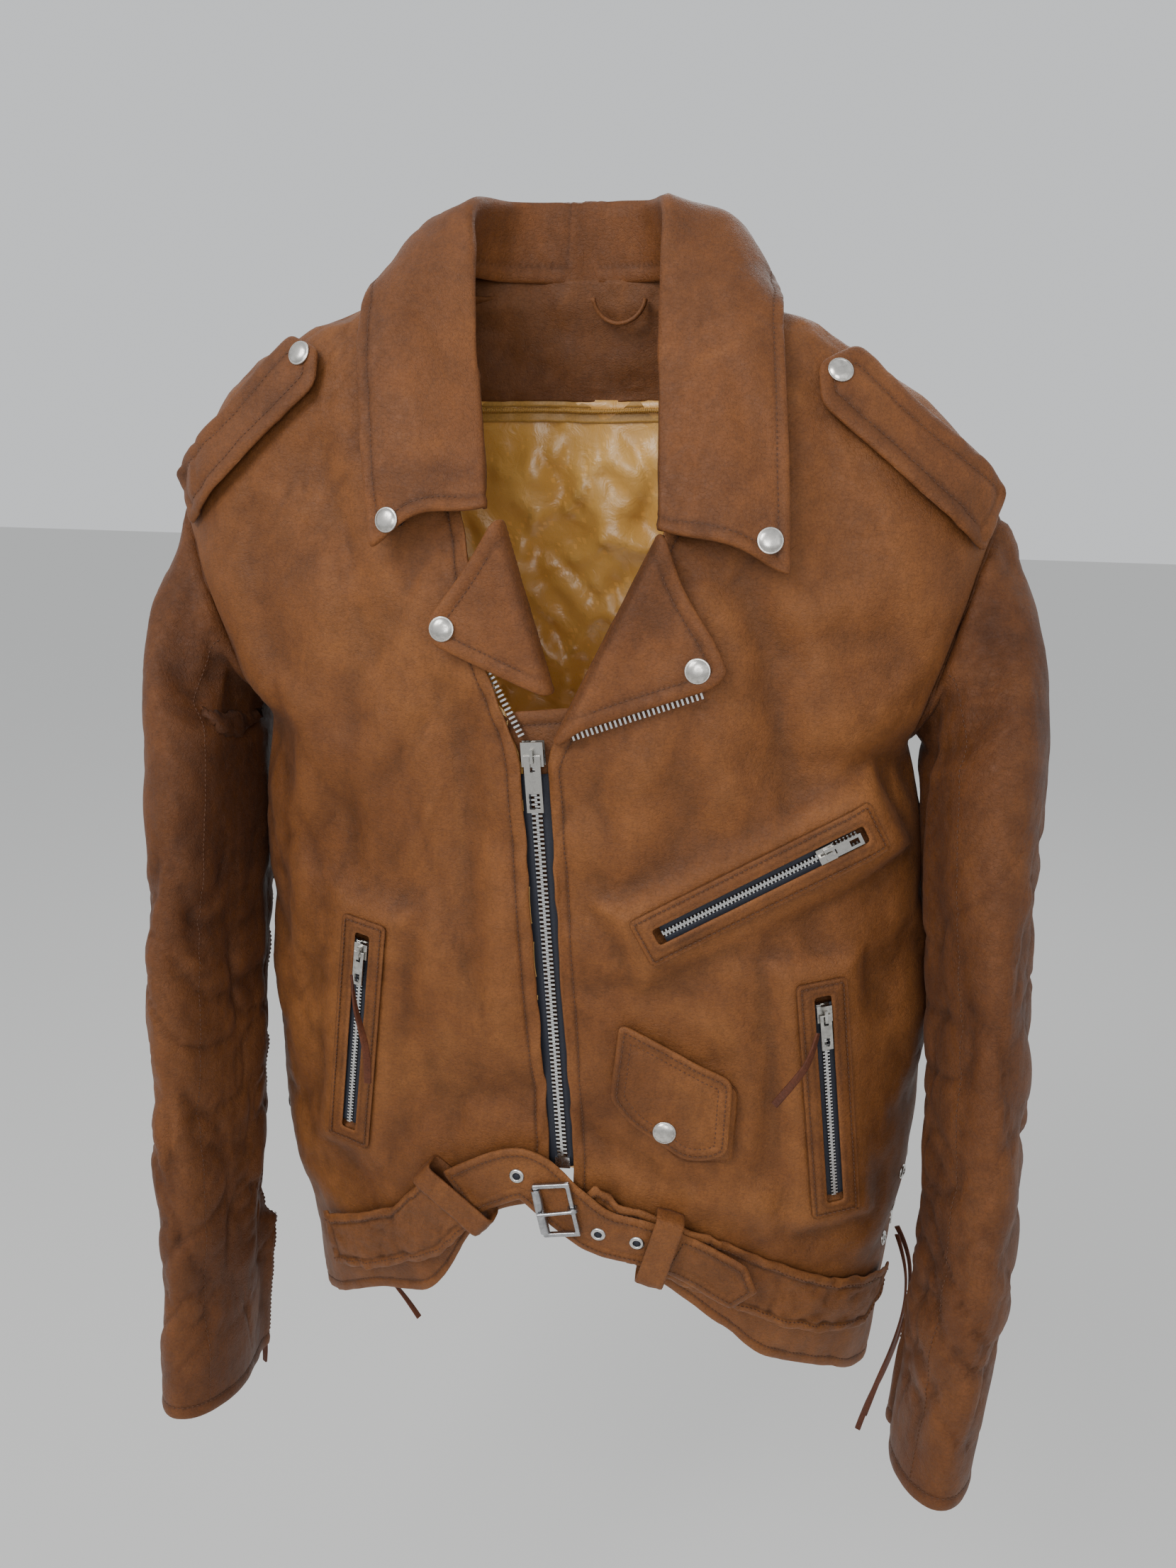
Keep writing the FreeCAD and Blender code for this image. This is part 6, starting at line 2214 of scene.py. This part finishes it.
def make_snaps():
    hosts = {"collar": "collar_hide", "lapel": "lapel_hide", "epaulette": "epaulette_hide"}
    bodies = {"collar": "collar", "lapel": "lapel_fold", "epaulette": "epaulette_strap"}
    rows = [(f"{name}_{kind}_snap", f"{name}_{host}", f"{name}_{bodies[kind]}")
            for name, _ in SIDES for kind, host in hosts.items()]
    rows.append(("coin_flap_snap", "coin_flap_hide", "coin_flap"))
    for node, host, body in rows:
        spots = node_points(node)
        centre, normal = flat_axis(spots)
        if normal[1] > 0:
            normal = -normal
        place, way = resting(surface_of(bpy.data.objects[host]), centre, normal)
        points, faces = turned_piece(SNAP_PROFILE)
        piece = make_piece(f"{node}_cap", set_on(points, place, way), faces, "snap_nickel")
        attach(piece, body)
        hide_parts(node)


make_snaps()


EYELET_PROFILE = ((2.7, -0.4), (2.6, 0.7), (3.0, 1.25), (3.9, 1.35), (4.9, 0.9), (5.3, 0.1),
                  (5.2, -0.4))


def ring_mesh(profile, segments=26):
    points = np.array([(r * math.cos(a), r * math.sin(a), h) for r, h in profile
                       for a in np.arange(segments) * 2 * math.pi / segments]) * MM
    faces = []
    count = len(profile)
    for ring in range(count):
        for k in range(segments):
            a, b = ring * segments + k, ring * segments + (k + 1) % segments
            c = ((ring + 1) % count) * segments + (k + 1) % segments
            d = ((ring + 1) % count) * segments + k
            faces.append([a, b, c, d])
    return points, faces


def make_eyelets():
    names = [name for name in bpy.data.objects.keys() if name.endswith("_hide")]
    hides = surface_of(*[bpy.data.objects[name] for name in names
                         if "sleeve" not in name and "facing" not in name])
    points = node_points("eyelets")
    loose = [points[0]]
    for point in points:
        if min(np.linalg.norm(point - other) for other in loose) > 12 * MM:
            loose.append(point)
    centres = []
    for seed in loose:
        near = points[np.linalg.norm(points - seed, axis=1) < 12.5 * MM]
        centres.append(flat_axis(near))
    metal, holes = [], []
    shape, faces = ring_mesh(EYELET_PROFILE)
    # dark discs inside the eyelet rings: painted shade standing in for the see-through holes
    shade_disc, shade_disc_faces = turned_piece(((0, 0.35), (2.75, 0.35), (2.7, -0.4)), 20)
    for centre, normal in centres:
        outward = centre - np.array([0.0, AXIS_Y, centre[2]])
        if normal @ outward < 0:
            normal = -normal
        place, way = resting(hides, centre, normal)
        metal.append((set_on(shape, place, way), faces))
        holes.append((set_on(shade_disc, place, way), shade_disc_faces))
    points, faces = joined(metal)
    piece = make_piece("eyelet_rings", points, faces, "eyelet_nickel")
    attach(piece, "root")
    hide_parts("eyelets")
    # the dark discs: painted shade of the eyelet holes
    points, faces = joined(holes)
    piece = make_piece("eyelet_holes", points, faces, "zip_tape")
    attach(piece, "root")


make_eyelets()


def box_mesh(centre, axes, sizes):
    """Points and faces of a box with its edges along three axes."""
    signs = np.array([(x, y, z) for x in (-1, 1) for y in (-1, 1) for z in (-1, 1)]) / 2
    points = centre + (signs * sizes) @ np.array(axes)
    faces = [[0, 1, 3, 2], [4, 6, 7, 5], [0, 4, 5, 1], [2, 3, 7, 6], [0, 2, 6, 4], [1, 5, 7, 3]]
    return points, faces


def make_cuff_zips():
    """Small zip in each cuff, shut above its slider and open below it."""
    for name, _ in SIDES:
        zip_ = CUFF_ZIPS[name]
        slider = 12 * MM
        axes = (zip_.across, zip_.along, zip_.out)
        teeth = []
        for index in range(int(zip_.length / (1.25 * MM))):
            place = (index + 0.5) * 1.25 * MM
            hand = -1 if index % 2 else 1
            gap = 2.4 * MM if place < slider else 0.0
            centre = zip_.spot(place, hand * (0.7 * MM + gap), 0.0)
            teeth.append(box_mesh(centre, axes, mm(2.9, 1.05, 2.3)))
        points, faces = joined(teeth)
        chain = make_piece(f"{name}_cuff_teeth", points, faces, "zip_teeth")
        shut = 1 - slider / zip_.length
        parts = straight_tapes(zip_.from_other_end(), 2.2 * MM, 7 * MM, 2.4 * MM, shut)
        points, faces = joined(parts)
        tape = make_piece(f"{name}_cuff_tape", points, faces, "zip_tape")
        for piece in (chain, tape):
            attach(piece, f"{name}_sleeve")
        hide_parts(f"{name}_cuff_zip")


make_cuff_zips()


# the first word that a node's name holds settles its finish
HARD_WORDS = (
    ("teeth", "zip_teeth"), ("slider", "zip_metal"),
    ("puller", "zip_metal"), ("stud", "snap_nickel"), ("buckle", "buckle_steel"),
)


def finish_metal():
    """Procedural finish on the hard pieces of the frame that stay as they are."""
    for node in frame["nodes"]:
        finish = next((slot for word, slot in HARD_WORDS if word in node), None)
        if finish is None or node not in bpy.data.objects:
            continue
        own = bpy.data.objects[node].data.materials
        if not own:
            own.append(MATERIALS[finish])
        for index in range(len(own)):
            own[index] = MATERIALS[finish]


finish_metal()
